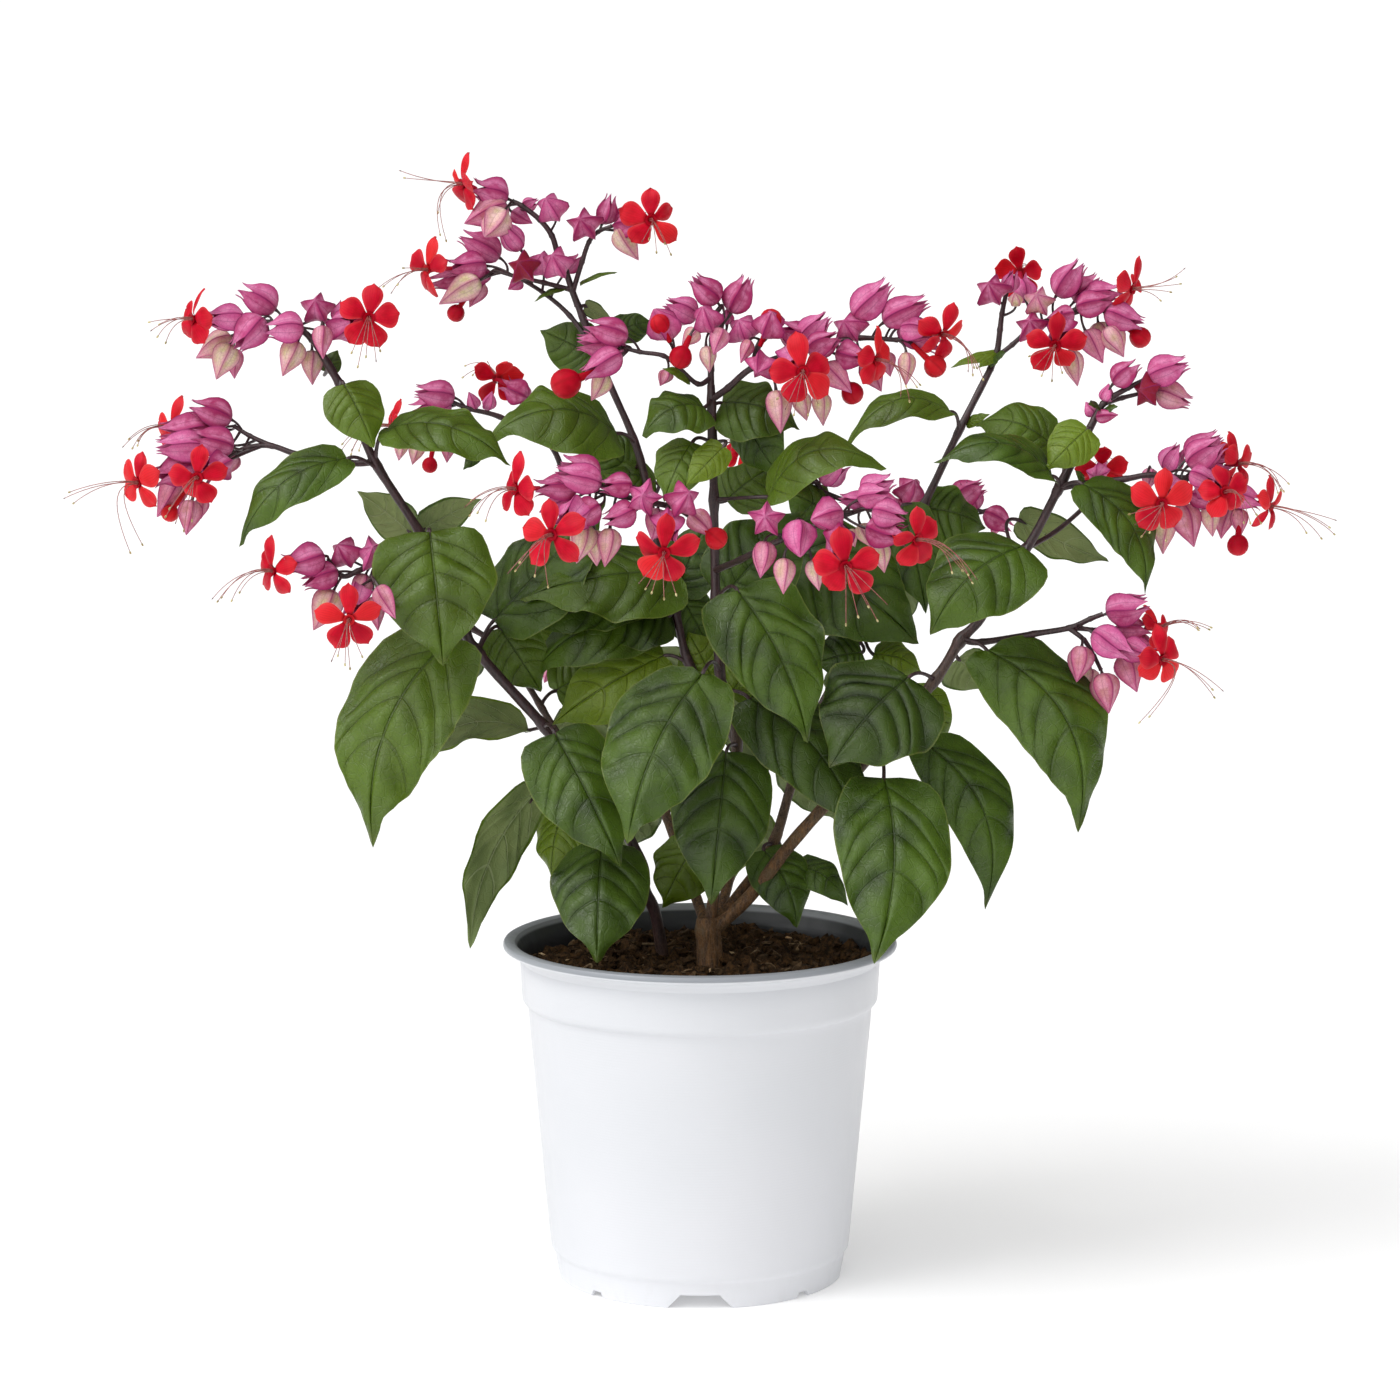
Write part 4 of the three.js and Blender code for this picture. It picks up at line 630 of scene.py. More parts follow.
# %% Leaf table
# A row: where on the stem (column, row), the foot of the blade (column, row, depth), its tip
# (column, row, depth), width, the way the upper face looks (turn, tilt), arch, bow and, where it
# is known, how young it is, from 0 to 1.
LEAVES = table("""
stem_centre: 714 600 738 590 -20 808 743 -44 47 12 18 6 -3 .35 ; 718 672 702 674 -34 627 844 -62
  51 -10 18 7 4 .4 ; 722 690 750 698 -12 860 836 -30 42 25 20 5 -7 .15 ; 737 745 726 752 -16 711
  905 -42 44 0 10 6 0 .2 ; 711 402 704 407 -8 642 436 -22 28 10 55 8 0 .5 ; 711 404 722 402 4 800
  430 2 32 10 45 6 0 .5 ; 712 430 744 412 8 782 478 2 26 -40 20 4 0 .4 ; 713 440 692 442 -12 664
  502 -20 25 -20 25 3 0 .65 ; 713 440 724 446 -16 686 486 -24 15 20 30 2 0 1 ; 714 498 768 496 -10
  887 469 -20 30 0 55 16 -3 .65 ; 714 500 726 500 10 776 466 20 28 10 40 3 0 .6 ; 722 840 695 845
  6 662 908 10 28 -20 10 3 0 .75 ; 716 600 724 596 18 806 512 24 42 10 35 4 0 .3 ; 722 690 712 678
  14 688 632 20 24 0 30 2 0 .85 ; 722 690 730 696 8 756 656 14 22 10 30 2 0 .8
stem_left_inner: 634 440 616 432 26 487 438 6 42 0 55 14 0 .6 ; 598 352 594 356 58 540 330 66 25
  -20 25 2 0 .5 ; 594 342 614 332 60 654 322 70 15 10 30 2 0 ; 586 322 584 306 54 614 322 64 9 180
  -30 1 0 ; 675 610 668 616 16 592 642 10 28 -10 45 5 0 ; 672 598 655 588 20 528 633 4 32 -10 45 5
  0 .2 ; 668 590 678 572 14 519 599 -8 46 -15 42 6 0 .55 ; 689 664 664 655 14 552 725 8 36 -10 30
  5 0 1 ; 685 655 664 618 24 528 680 14 36 -5 45 17 0 .5 ; 640 460 630 470 44 584 437 50 26 -10 35
  3 0 .5 ; 650 500 656 482 40 604 474 36 22 0 45 3 0 .6 ; 664 575 676 592 24 708 520 30 28 0 25 3
  0 .3 ; 675 610 682 598 24 710 652 26 24 10 20 2 0 .3
stem_left_outer: 464 630 449 640 -20 373 848 -44 53 -15 22 8 10 .6 ; 427 545 430 532 -28 443 666
  -46 52 5 20 5 0 .6 ; 478 652 493 620 0 606 500 18 44 -20 30 5 3 .3 ; 478 652 500 628 6 541 692
  14 28 -10 30 4 0 .6 ; 379 471 347 458 -18 239 547 -30 24 -20 45 11 2 .5 ; 340 386 344 384 -24
  374 448 -32 26 10 25 3 0 .7 ; 375 462 388 428 -18 511 466 -34 36 10 55 11 0 .6 ; 545 727 555 733
  -22 621 867 -46 43 8 18 6 0 .3 ; 612 808 602 842 -14 597 963 -48 42 -5 15 5 0 .25 ; 600 790 562
  812 16 552 878 12 26 -30 10 3 0 .85 ; 580 766 538 788 18 470 949 4 27 -140 0 6 -5 ; 545 727 529
  731 16 413 785 14 30 185 -58 -19 0 ; 418 538 412 534 4 357 491 14 19 185 10 3 0 ; 424 545 420
  531 6 482 499 14 17 175 15 3 0 ; 328 366 326 372 0 338 350 4 10 0 20 1 0
stem_left_back: 540 704 556 690 34 604 676 48 28 20 45 4 0 ; 507 651 520 636 46 566 616 60 28 20
  45 4 0 ; 470 627 462 640 46 425 715 58 32 200 15 4 0
stem_right_outer: 1059 488 1083 484 -14 1145 595 -22 30 30 20 4 -9 .5 ; 962 640 988 650 -22 1078
  833 -44 46 12 20 8 -15 .5 ; 1020 552 1022 546 -26 930 635 -48 45 -12 32 6 4 .5 ; 1059 488 1052
  475 -14 933 463 -26 29 0 57 14 0 .35 ; 1064 478 1053 446 10 974 424 18 30 0 42 9 0 .6 ; 1084 440
  1088 428 -8 1046 470 -14 21 0 20 3 0 .9 ; 1015 556 1018 520 22 1109 562 20 20 185 -25 3 0 ; 960
  641 958 658 6 988 690 12 26 160 0 3 0 ; 880 745 922 741 -14 985 910 -32 35 12 18 6 -13 .3 ; 880
  745 884 778 -34 874 964 -76 50 0 18 6 -6 .4 ; 935 680 908 677 -28 829 768 -50 54 -12 30 6 0 .1 ;
  900 722 901 697 4 944 753 8 28 -20 10 3 -2 .75
stem_right_inner: 959 431 950 411 60 846 446 46 25 0 62 15 0 .65 ; 923 507 926 508 62 986 528 68
  36 15 35 4 0 .5 ; 890 575 796 548 46 919 644 32 56 5 35 5 0 .25 ; 923 507 902 506 56 926 614 50
  28 10 20 3 0 .4 ; 862 632 874 654 40 922 672 40 22 10 40 4 0 .85 ; 773 844 764 850 0 797 928 -10
  27 20 15 4 -2 .3 ; 776 838 795 866 6 848 906 0 17 10 45 8 0 .4 ; 858 640 862 652 34 814 664 30
  28 -10 30 2 0 .2
stem_back_left: 665 812 634 800 74 600 866 96 36 200 20 5 0 ; 645 760 684 746 84 706 830 108 44
  170 20 5 0 ; 620 700 592 704 92 576 790 112 42 200 15 5 0 ; 605 660 646 646 100 668 730 126 44
  170 20 5 0 ; 580 585 612 572 110 640 640 132 38 175 25 5 0
stem_back_right: 750 806 734 806 78 728 884 100 40 185 15 5 0 ; 770 756 806 752 84 842 828 108 38
  160 20 5 0 ; 795 700 768 690 94 758 778 116 44 190 15 5 0 ; 812 655 862 662 100 880 736 122 40
  165 20 5 0 ; 838 575 874 566 116 900 632 136 36 165 25 5 0 ; 845 545 836 522 96 784 492 90 26
  -10 40 4 0 .4
""")
print(sum(map(len, LEAVES.values())), "leaves on", len(STEMS), "stems")


# %% Stem shape
def nearest_seen(line, column, row):
    """The number of the place on a line that is seen nearest to a column and row."""
    return int(np.argmin(np.sum((sighted(line) - [column, row]) ** 2, -1)))


def along(line):
    """Distance of each place from the start of the line."""
    return np.concatenate([[0], np.cumsum(np.linalg.norm(np.diff(line, axis=0), axis=1))])


# The height in millimetres up to which a stem is brown wood, and the height for all others.
WOODY, WOODY_ELSE = {"stem_left_outer": 60, "stem_right_outer": 190}, 165


def stem_body(name, path, thick, nodes):
    """A stem: evenly thinner from its foot, with a swelling at each node, four-sided when young."""
    line = smooth_line(spot(path), 16)
    far = along(line)
    girth = thick[0] + (thick[1] - thick[0]) * far / far[-1]
    for node in nodes:
        at = far[nearest_seen(line, *node)]
        girth = girth + 0.55 * hump(far, at, 2.6) - 0.25 * hump(far, at, 1.0)
    corner = np.arange(12) * 2 * np.pi / 12
    square = 1 + 0.05 * np.cos(4 * corner)[None] + 0.03 * np.sin(far * 0.35)[:, None]
    aged = WOODY.get(name, WOODY_ELSE)
    young = np.clip((line[:, 2] - aged) / 110, 0, 1)[:, None]
    return tube(line, girth[:, None] * square, 12, young=young)


print("stem helper ready")

# %% [markdown]
# ## Leaves
#
# The leaf is egg-shaped with a drawn-out tip. Its side veins leave the midrib low down and
# sweep forward, almost along the margin, and the blade puffs up between them. So the grid of
# the blade follows the veins: each vein is one row of the grid, and between two rows the
# surface is raised. A flat card with a picture would be cheaper, but these leaves are seen
# from close by, and their quilting is what catches the light.

# %% Blade of a leaf
# Where the side veins leave the midrib, and the depth of its groove, as shares of the length
# and of the width; the thickness of the blade and of its midrib in millimetres.
VEINS = np.array([0, 0.05, 0.16, 0.32, 0.52, 1.0])
GROOVE, BLADE_THICK, RIB_THICK = 0.016, 0.46, 0.55


def leaf_outline(place, fullness):
    """Half width as a share, from foot to tip: a sine of the place to a power, so the widest
    part lies a third of the way up, drawn in just before the tip."""
    wide = np.sin(np.pi * np.clip(place, 0, 1) ** fullness) ** 0.86
    return wide * (1 - 0.34 * hump(place, 0.91, 0.1))


def leaf_bodies(root, foot, tip, width, look, arch, bend, dice, youth=None):
    """A blade on its stalk.

    Rows count veins: the row's place on the midrib moves forward with the distance from it,
    which sweeps the veins. Lift is the sum of the arch along the midrib, the fold down to both
    margins, the puffs between veins, the groove of the midrib, a wave of the margins and
    small dents. The shoulders beside the foot are pushed back, as on a heart. On the underside
    the four-sided faces start one corner later, so that they are cut along the same diagonals
    as those above and the thin blade never meets itself.
    """
    fine = 9 if width > 30 else 7 if width > 18 else 4
    count = 11 if width > 30 else 8 if width > 18 else 5
    spans = len(VEINS) - 1
    axis = tip - foot
    long = np.linalg.norm(axis)
    axis = axis / long
    up = square_to(look, axis)
    side = np.cross(up, axis)
    vein = between(0, spans, spans * fine + 1)[1:-1, None]
    across = between(1, -1, 2 * count + 1)[None]
    across = np.sign(across) * np.abs(across) ** 1.25
    edge = np.abs(across)
    low = np.where(vein < 1, VEINS[1] * vein ** 1.7, np.interp(vein, np.arange(spans + 1), VEINS))
    sweep = (0.42 + 0.05 * dice.normal()) * edge ** 1.5
    place = low + (1 - low) * sweep * (1 - np.exp(-low / 0.035))
    half = 0.5 * width * leaf_outline(place, 0.63 + 0.025 * dice.normal())
    between_veins = vein - np.floor(vein + 1e-9)
    puff = np.sin(np.pi * between_veins) ** 0.9 * np.clip(edge / 0.12, 0, 1) * (1 - edge ** 3)
    waves = place * (2.0 + 1.4 * dice.random()) + dice.random()
    wave = np.sin(2 * np.pi * (waves + 0.3 * (across > 0)))
    half = half * (1 + 0.03 * wave)
    fold = (0.15 + 0.22 * dice.random()) * (1 + 0.4 * dice.normal() * np.sign(across))
    flat = np.stack([long * place, half * across, 0 * place], -1)
    dents = rough(flat, int(dice.integers(1e6)), 16, 5, 22)
    lift = (arch * 4 * place * (1 - place) - np.clip(fold, 0.04, 0.45) * half * edge ** 1.2
            + 0.03 * width * puff * np.sin(np.pi * np.clip(place, 0, 1)) ** 0.5
            - GROOVE * width * np.exp(-(edge / 0.07) ** 2) * (1 - place)
            + 0.012 * width * dents * edge
            + 0.036 * width * wave * edge ** 2.2 - 0.5 * arch * np.clip(place - 0.8, 0, 1) ** 2 * 6)
    sway = -bend * 4 * place * (1 - place)
    shoulder = 0.085 * edge ** 2 * hump(place, 0.11, 0.1)
    face = (foot + axis * (long * (place - shoulder))[..., None]
            + side * (half * across + sway)[..., None] + up * lift[..., None])
    thick = BLADE_THICK * np.clip(1.0001 - edge ** 20, 0, 1) * np.ones_like(place)
    thick = thick + RIB_THICK * np.exp(-(edge / 0.06) ** 2) * (1 - 0.8 * place)
    rings = over_and_under(face, up, thick)
    chance = dice.random()
    blade = body(rings, foot, tip, vein=both_faces(vein + 0 * edge),
                 across=both_faces(across + 0 * vein), lower=both_faces(0.0 * thick, 1 + 0 * thick),
                 tone=chance if youth is None else youth, reach=both_faces(place))
    below = np.arange(len(blade["sides"])) % rings.shape[1] >= across.size - 1
    blade["sides"][below] = np.roll(blade["sides"][below], 1, axis=1)
    sunk = 0.3 + GROOVE * width
    end = foot + axis * 0.02 * long - up * sunk
    span = np.linalg.norm(root - end)
    line = bow(root, end - 0.35 * span * axis + 0.1 * span * up, end, 12)
    on_midrib = foot + axis * long * 0.1 + up * (arch * 0.36 - sunk - 0.2)
    rib = smooth_line(np.vstack([line, on_midrib]), 1)
    girth = 0.8 + 0.35 * hump(np.arange(len(rib)), 0, 1.5) + 0.1 * hump(np.arange(len(rib)), 11, 2)
    girth[-1] = 0.3
    return blade, tube(rib, girth, 7, young=1.0)


print("the blade of a large leaf has", 2 * 43 * 44 + 2 * 44, "triangles")

# %% [markdown]
# ## Leaf surface
#
# The upper face is deep green and satin. Painted shade darkens its sunken veins and midrib,
# painted light brightens the puffs between them, and there is a mesh of fine veinlets; young
# leaves and margins are yellower. The underside is pale and dull, its veins raised and light.
# The mesh carries a count of veins, so the finish finds them exactly where the puffs end.

# %% Leaf finish
leaf = Finish("leaf_blade", Roughness=0.42, IOR=1.45, Specular_IOR_Level=0.42,
              Subsurface_Weight=0.03, Subsurface_Radius=(0.4, 0.9, 0.2), Subsurface_Scale=0.0015)
count, across, reach = leaf.number("vein"), leaf.number("across"), leaf.number("reach")
tone, lower = leaf.number("tone"), leaf.number("lower")
edge = leaf.sum("ABSOLUTE", across)
to_vein = leaf.sum("PINGPONG", count, 0.5)
# Masks of the midrib and the side veins: on the upper face they carry painted shade, on the
# underside the veins' own pale colour.
rib = leaf.steps(edge, 0.035, 0.008)
veins = leaf.times(leaf.steps(to_vein, 0.045, 0.008), leaf.steps(edge, 1.0, 0.7))
veins = leaf.sum("MAXIMUM", rib, leaf.times(veins, 0.6))
net = leaf.steps(leaf.cells(240), 0.08, 0.0)
fine_net = leaf.steps(leaf.cells(900), 0.1, 0.0)
web = leaf.sum("MAXIMUM", leaf.times(net, 0.5), leaf.times(fine_net, 0.25))
cloud = leaf.noise(55, 3)
green = leaf.lay("263A03", "445E07", cloud, 0.3, 0.7)
green = leaf.lay(green, "7A9018", tone, 0.4, 1.0, 0.75)
green = leaf.lay(green, "182604", tone, 0.4, 0.0, 0.75)
green = leaf.mix(leaf.times(web, 0.3), green, "21310B")
# Painted light: a lighter green on the puffs, away from the veins.
green = leaf.lay(green, "5A7624", to_vein, 0.0, 0.4, 0.25)
# Painted shade: the sunken side veins and the midrib are darkened.
green = leaf.mix(leaf.times(veins, 0.42), green, "1A2408")
green = leaf.lay(green, "7C8440", edge, 0.965, 0.995, 0.4)
green = leaf.lay(green, "7A7C38", reach, 0.92, 1.0, 0.35)
pale = leaf.lay("6C7C48", "86945C", cloud, 0.3, 0.7)
pale = leaf.mix(leaf.times(veins, 0.6), pale, "AAB58A")
green = leaf.lay(green, pale, lower, 0.35, 0.75)
relief = leaf.bump(leaf.times(veins, -1.0), 0.0006, 0.8)
relief = leaf.bump(leaf.times(web, -1.0), 0.00028, 0.7, relief)
relief = leaf.bump(leaf.noise(150, 3), 0.0009, 0.45, relief)
relief = leaf.bump(leaf.noise(2600, 2), 0.00006, 0.35, relief)
gloss = leaf.steps(cloud, 0.25, 0.75, 0.3, 0.42)
gloss = leaf.sum("ADD", gloss, leaf.times(lower, 0.2))
leaf_finish = leaf.wear(green, gloss, relief)
print("leaf finish ready")

# %% Stems and leaves
leaf_dice = np.random.default_rng(3)
for name, (thick, path) in STEMS.items():
    line = smooth_line(spot(path), 16)
    rows = LEAVES.get(name, [])
    wood = [stem_body(name, path, thick, [row[:2] for row in rows])]
    blades = []
    for row in rows:
        root = line[nearest_seen(line, row[0], row[1])]
        foot, tip = spot(row[2:8])
        width, turn, tilt, arch, bend, *youth = row[8:]
        look = facing(turn, tilt)
        blade, stalk = leaf_bodies(root, foot, tip, width, look, arch, bend, leaf_dice, *youth)
        blades.append(blade)
        wood.append(stalk)
    make_piece(name.replace("stem", "wood"), wood, bark_finish, [name])
    if blades:
        make_piece(name.replace("stem", "leaves"), blades, leaf_finish, [name], 75)
print("stems and leaves:", sum(made.values()), "triangles with the pot and its soil")

# %% [markdown]
# ## Flower sprays
#
# Each spray is a dark, thin stalk that forks over and over. Its calyces, buds and open blooms
# hang on short stalks that leave the nearest free place of a fork. The tables note where each
# calyx starts and ends as it is seen, so a cluster keeps its outline from the front.

# %% Branch table
# Of each spray: its branches, each as points along it (column, row, depth), the main one first.
BRANCHES = table("""
top_left: 578 306 46 572 290 46 566 272 46 558 255 46 552 236 46 540 220 46 522 206 46 512 201 46
  ; 572 290 46 545 283 44 518 277 42 494 270 42 ; 573 291 46 582 262 46 589 242 45 598 232 45 612
  226 44 ; 597 352 44 570 316 48 545 294 47 518 277 42
left_high: 318 347 -12 312 340 -12 304 332 -12 290 326 -10 264 322 -8 240 330 -10 ; 310 338 -12
  318 332 -14 330 326 -12
far_left: 375 462 -12 350 463 -10 300 455 -8 272 446 -6 250 447 -6 236 452 -8 ; 272 446 -6 250 436
  -4 234 426 -2
left_low: 427 545 -10 402 556 -14 378 562 -16 358 571 -20 342 576 -22 328 560 -22 ; 378 562 -16
  372 576 -22 376 584 -24
back_left: 575 570 98 568 510 92 562 470 88 545 440 84 500 417 80 470 409 78 452 402 78 ; 470 409
  78 450 425 78 432 436 76
centre_left: 714 535 0 702 520 -30 684 510 -62 655 503 -76 620 496 -78 590 490 -78
centre_top: 711 388 0 711 370 0 712 340 0 714 318 0 722 305 0 ; 711 378 0 698 384 -4 680 369 -8
  664 356 -10 640 352 -10 620 347 -10
top_centre: 711 400 0 728 388 -4 752 368 -8 790 354 -6 830 343 -4 860 338 -2 898 340 0 ; 752 368
  -8 756 350 -8 760 340 -8
right_high: 990 370 78 997 352 80 1000 330 80 1002 314 80 1006 294 80 ; 995 358 80 1012 345 80
  1034 326 78 1060 316 78 1086 308 78 1104 308 78
right_tip: 1094 420 0 1103 404 0 1114 396 0 1128 388 0 1144 380 0 ; 1103 404 0 1122 398 4 1142 393
  4
far_right: 1059 488 -4 1082 484 -4 1125 479 -4 1150 475 -4 1185 478 -4 1205 482 -4
right_low: 962 640 -12 982 642 -12 1033 634 -14 1069 628 -16 1090 619 -16 1103 614 -16 ; 1069 628
  -16 1084 640 -18 1094 656 -18 1101 670 -18 ; 1069 628 -16 1092 630 -14 1114 638 -12
centre_right: 716 570 0 740 560 -36 770 545 -62 806 530 -76 840 517 -80 866 508 -78
right_back: 1092 494 16 1096 484 15 1096 476 14
back_centre: 845 545 102 832 515 100 822 492 98 812 478 98 790 470 98 762 466 98 ; 822 492 98 880
  512 98 915 505 98 955 505 98 985 512 98
behind_left: 612 680 79 600 668 88 584 660 98 566 654 103
behind_right: 818 640 88 806 632 98 790 626 104 774 624 106
""")

# %% Calyx table
# A row: base (column, row, depth), tip (column, row), how much nearer the tip is, whether it
# is open, and how pale it is (below nothing: dark red).
CALYCES = table("""
top_left: 508 206 44 465 222 4 0 .35 ; 505 210 38 485 236 6 0 .7 ; 522 207 56 538 202 2 1 .08 ;
  512 212 54 532 224 4 0 .08 ; 556 217 48 548 197 10 1 .08 ; 521 250 40 500 224 4 1 .08 ; 500 258
  52 462 234 0 1 .08 ; 492 274 46 426 284 2 1 .08 ; 480 280 38 440 303 4 0 .9 ; 482 282 48 470 307
  4 0 .35 ; 528 272 36 519 262 11 1 -1 ; 544 272 48 543 254 6 1 .08 ; 522 280 52 508 288 2 0 .08 ;
  562 270 38 552 257 10 1 .08 ; 566 272 56 580 256 0 1 .08 ; 588 230 44 581 219 12 1 .08 ; 602 224
  50 612 196 2 1 .08 ; 616 222 52 626 206 2 0 .08 ; 618 228 42 638 259 4 0 .9
left_high: 276 310 -6 241 287 0 1 .08 ; 264 318 -16 235 348 4 1 .08 ; 232 336 -4 198 359 2 0 .7 ;
  230 344 -12 216 378 4 0 .95 ; 233 348 -2 233 378 2 0 .35 ; 304 328 -18 266 328 2 1 .08 ; 298 341
  -14 282 375 4 0 .8 ; 320 316 -4 314 300 9 1 .08 ; 312 350 -8 311 384 2 0 .7 ; 322 326 -24 323
  358 5 0 .35 ; 334 320 2 344 304 2 1 .08 ; 336 326 2 344 340 2 0 .08
far_left: 232 420 -4 191 405 2 1 .08 ; 228 430 6 188 430 0 1 .08 ; 212 428 -2 160 431 2 1 .08 ;
  234 448 -14 192 436 2 1 .08 ; 205 446 -14 157 447 3 1 .08 ; 182 478 -4 158 516 4 0 .35 ; 192 500
  -14 186 534 3 0 .35 ; 202 498 -2 200 518 2 0 .35 ; 238 456 -2 222 476 0 0 .35 ; 206 462 2 165
  470 0 1 .08
left_low: 338 572 -24 303 582 4 1 .08 ; 352 560 -16 338 546 8 1 .08 ; 372 560 -14 373 548 12 1 .08
  ; 334 590 -22 314 629 4 0 .7 ; 366 574 -16 354 606 4 0 .35 ; 378 586 -46 396 617 5 0 .35 ; 374
  596 -16 377 630 3 0 .35
back_left: 455 398 76 416 390 2 1 .08 ; 452 406 84 410 411 2 1 .08 ; 476 408 80 469 392 4 0 .08 ;
  488 410 84 489 392 2 0 .08 ; 402 438 70 399 460 2 0 .8 ; 418 440 72 412 464 2 0 .8 ; 448 440 80
  446 462 2 0 .35 ; 575 430 82 548 442 0 1 .08
centre_left: 600 479 -74 561 463 0 1 .08 ; 602 485 -84 556 471 0 1 .08 ; 632 486 -82 600 486 4 1
  .08 ; 645 500 -80 642 495 13 1 .08 ; 676 506 -80 690 494 10 1 .08 ; 692 512 -70 712 537 5 0 .35
  ; 658 508 -72 652 540 2 0 .35 ; 600 505 -86 570 520 3 1 .08 ; 636 510 -84 604 520 3 1 .08 ; 610
  528 -84 606 566 3 0 .55 ; 586 524 -80 576 562 2 0 .9 ; 594 530 -72 597 565 2 0 1 ; 570 500 -68
  540 512 2 0 .08
centre_top: 628 338 -12 586 325 2 1 .08 ; 626 346 -4 578 343 0 1 .08 ; 622 354 -18 582 373 4 1 .08
  ; 606 374 -12 592 400 2 0 .9 ; 672 338 -6 654 310 6 1 .08 ; 697 318 6 666 302 2 1 .08 ; 718 303
  0 694 277 2 1 .08 ; 731 313 2 749 278 0 1 .08 ; 711 330 -8 702 308 8 1 .08 ; 727 324 6 726 309 2
  0 .08 ; 698 330 -10 682 346 2 0 .6 ; 706 346 -10 709 372 2 0 .9 ; 722 328 -12 713 354 3 0 .35 ;
  668 370 -10 661 386 0 0 .35
top_centre: 768 336 -12 772 312 7 1 .08 ; 748 338 0 738 320 6 1 .08 ; 750 340 -12 740 362 3 0 .35
  ; 766 360 -14 756 372 8 1 .08 ; 776 390 -24 780 432 3 0 .6 ; 798 392 -10 806 420 2 0 .9 ; 820
  392 -8 823 425 2 0 .9 ; 800 342 -2 829 317 2 1 .08 ; 808 352 -12 838 336 3 1 .08 ; 824 364 -10
  850 393 3 0 .35 ; 854 334 4 845 321 9 1 .08 ; 812 346 2 778 326 4 1 .08 ; 854 318 2 890 284 0 1
  .08 ; 883 323 0 926 299 0 1 .08 ; 898 326 4 941 348 2 1 .08 ; 906 352 -6 907 385 2 0 .7 ; 884
  352 6 890 376 0 0 .35 ; 864 360 4 882 390 0 0 .35
right_high: 996 297 78 988 283 9 1 .08 ; 1008 292 80 1012 271 4 1 .08 ; 1016 305 74 1015 292 4 0
  .9 ; 1040 308 74 1038 294 8 1 .6 ; 1056 296 76 1083 264 0 1 .08 ; 1074 302 84 1100 278 0 1 .08 ;
  1076 308 72 1112 300 2 1 .08 ; 1104 312 72 1143 323 3 1 .08 ; 1098 322 82 1105 350 0 0 .9 ; 1108
  326 70 1122 357 2 0 .6 ; 1085 330 74 1103 362 2 0 .35 ; 1070 350 74 1078 385 3 0 .7 ; 1034 332
  72 1029 321 9 1 .08 ; 1074 314 70 1048 318 3 0 .08
right_tip: 1113 384 -2 1138 363 2 1 .08 ; 1148 378 0 1187 362 2 1 .08 ; 1156 391 4 1190 404 2 1
  .45 ; 1152 391 0 1140 390 6 1 -1 ; 1105 402 0 1109 384 0 0 .08 ; 1096 418 -2 1118 414 3 0 .08 ;
  1094 416 4 1086 402 0 0 .08
far_right: 1164 470 2 1182 447 2 1 .08 ; 1186 460 -4 1219 434 0 1 .08 ; 1188 466 -12 1222 441 4 1
  .08 ; 1190 472 -16 1216 484 4 1 .08 ; 1150 468 2 1148 491 2 0 .35 ; 1202 472 4 1228 452 0 0 .08
  ; 1190 494 -8 1214 506 3 1 .08 ; 1180 504 -10 1193 546 3 0 .35 ; 1164 512 0 1163 553 3 0 .8 ;
  1208 506 -6 1211 536 2 0 .9 ; 1226 504 2 1221 538 2 0 .35 ; 1238 508 -6 1240 536 2 0 .35 ; 1212
  490 4 1250 492 0 1 .08
right_low: 1106 614 -16 1147 600 2 1 .08 ; 1092 632 -26 1132 655 3 1 .08 ; 1082 646 -24 1077 681 4
  0 .35 ; 1122 655 -14 1137 691 3 0 .3 ; 1102 673 -24 1110 712 3 0 .35 ; 1090 668 -12 1087 698 2 0
  .7 ; 1118 638 -4 1152 646 0 1 .08
centre_right: 768 522 -74 765 516 13 1 .08 ; 797 520 -80 800 556 6 1 .08 ; 765 541 -76 761 577 3 0
  .35 ; 784 558 -78 783 593 3 0 .6 ; 812 560 -76 818 590 2 0 .8 ; 842 512 -84 812 520 6 1 .08 ;
  868 502 -74 840 499 3 1 .08 ; 862 496 -70 892 478 2 1 .08 ; 858 500 -84 888 490 4 1 .08 ; 860
  524 -74 872 546 2 0 .9 ; 848 530 -72 856 546 2 0 .9 ; 878 542 -74 884 572 2 0 .9 ; 872 510 -88
  905 520 2 1 .08
back_centre: 806 480 94 794 464 8 1 .08 ; 820 482 94 847 463 2 1 .08 ; 905 500 94 914 480 7 1 .08
  ; 952 502 96 984 486 0 1 .08 ; 984 512 94 1012 528 0 1 .08 ; 975 512 98 962 482 0 1 .08 ; 888
  512 92 896 500 6 0 .08 ; 1000 512 102 992 536 0 0 .35
behind_left: 556 660 100 544 682 0 0 .35 ; 572 664 108 580 690 0 0 .35
behind_right: 766 632 106 754 652 0 0 .35 ; 780 636 110 778 662 0 0 .35
""")

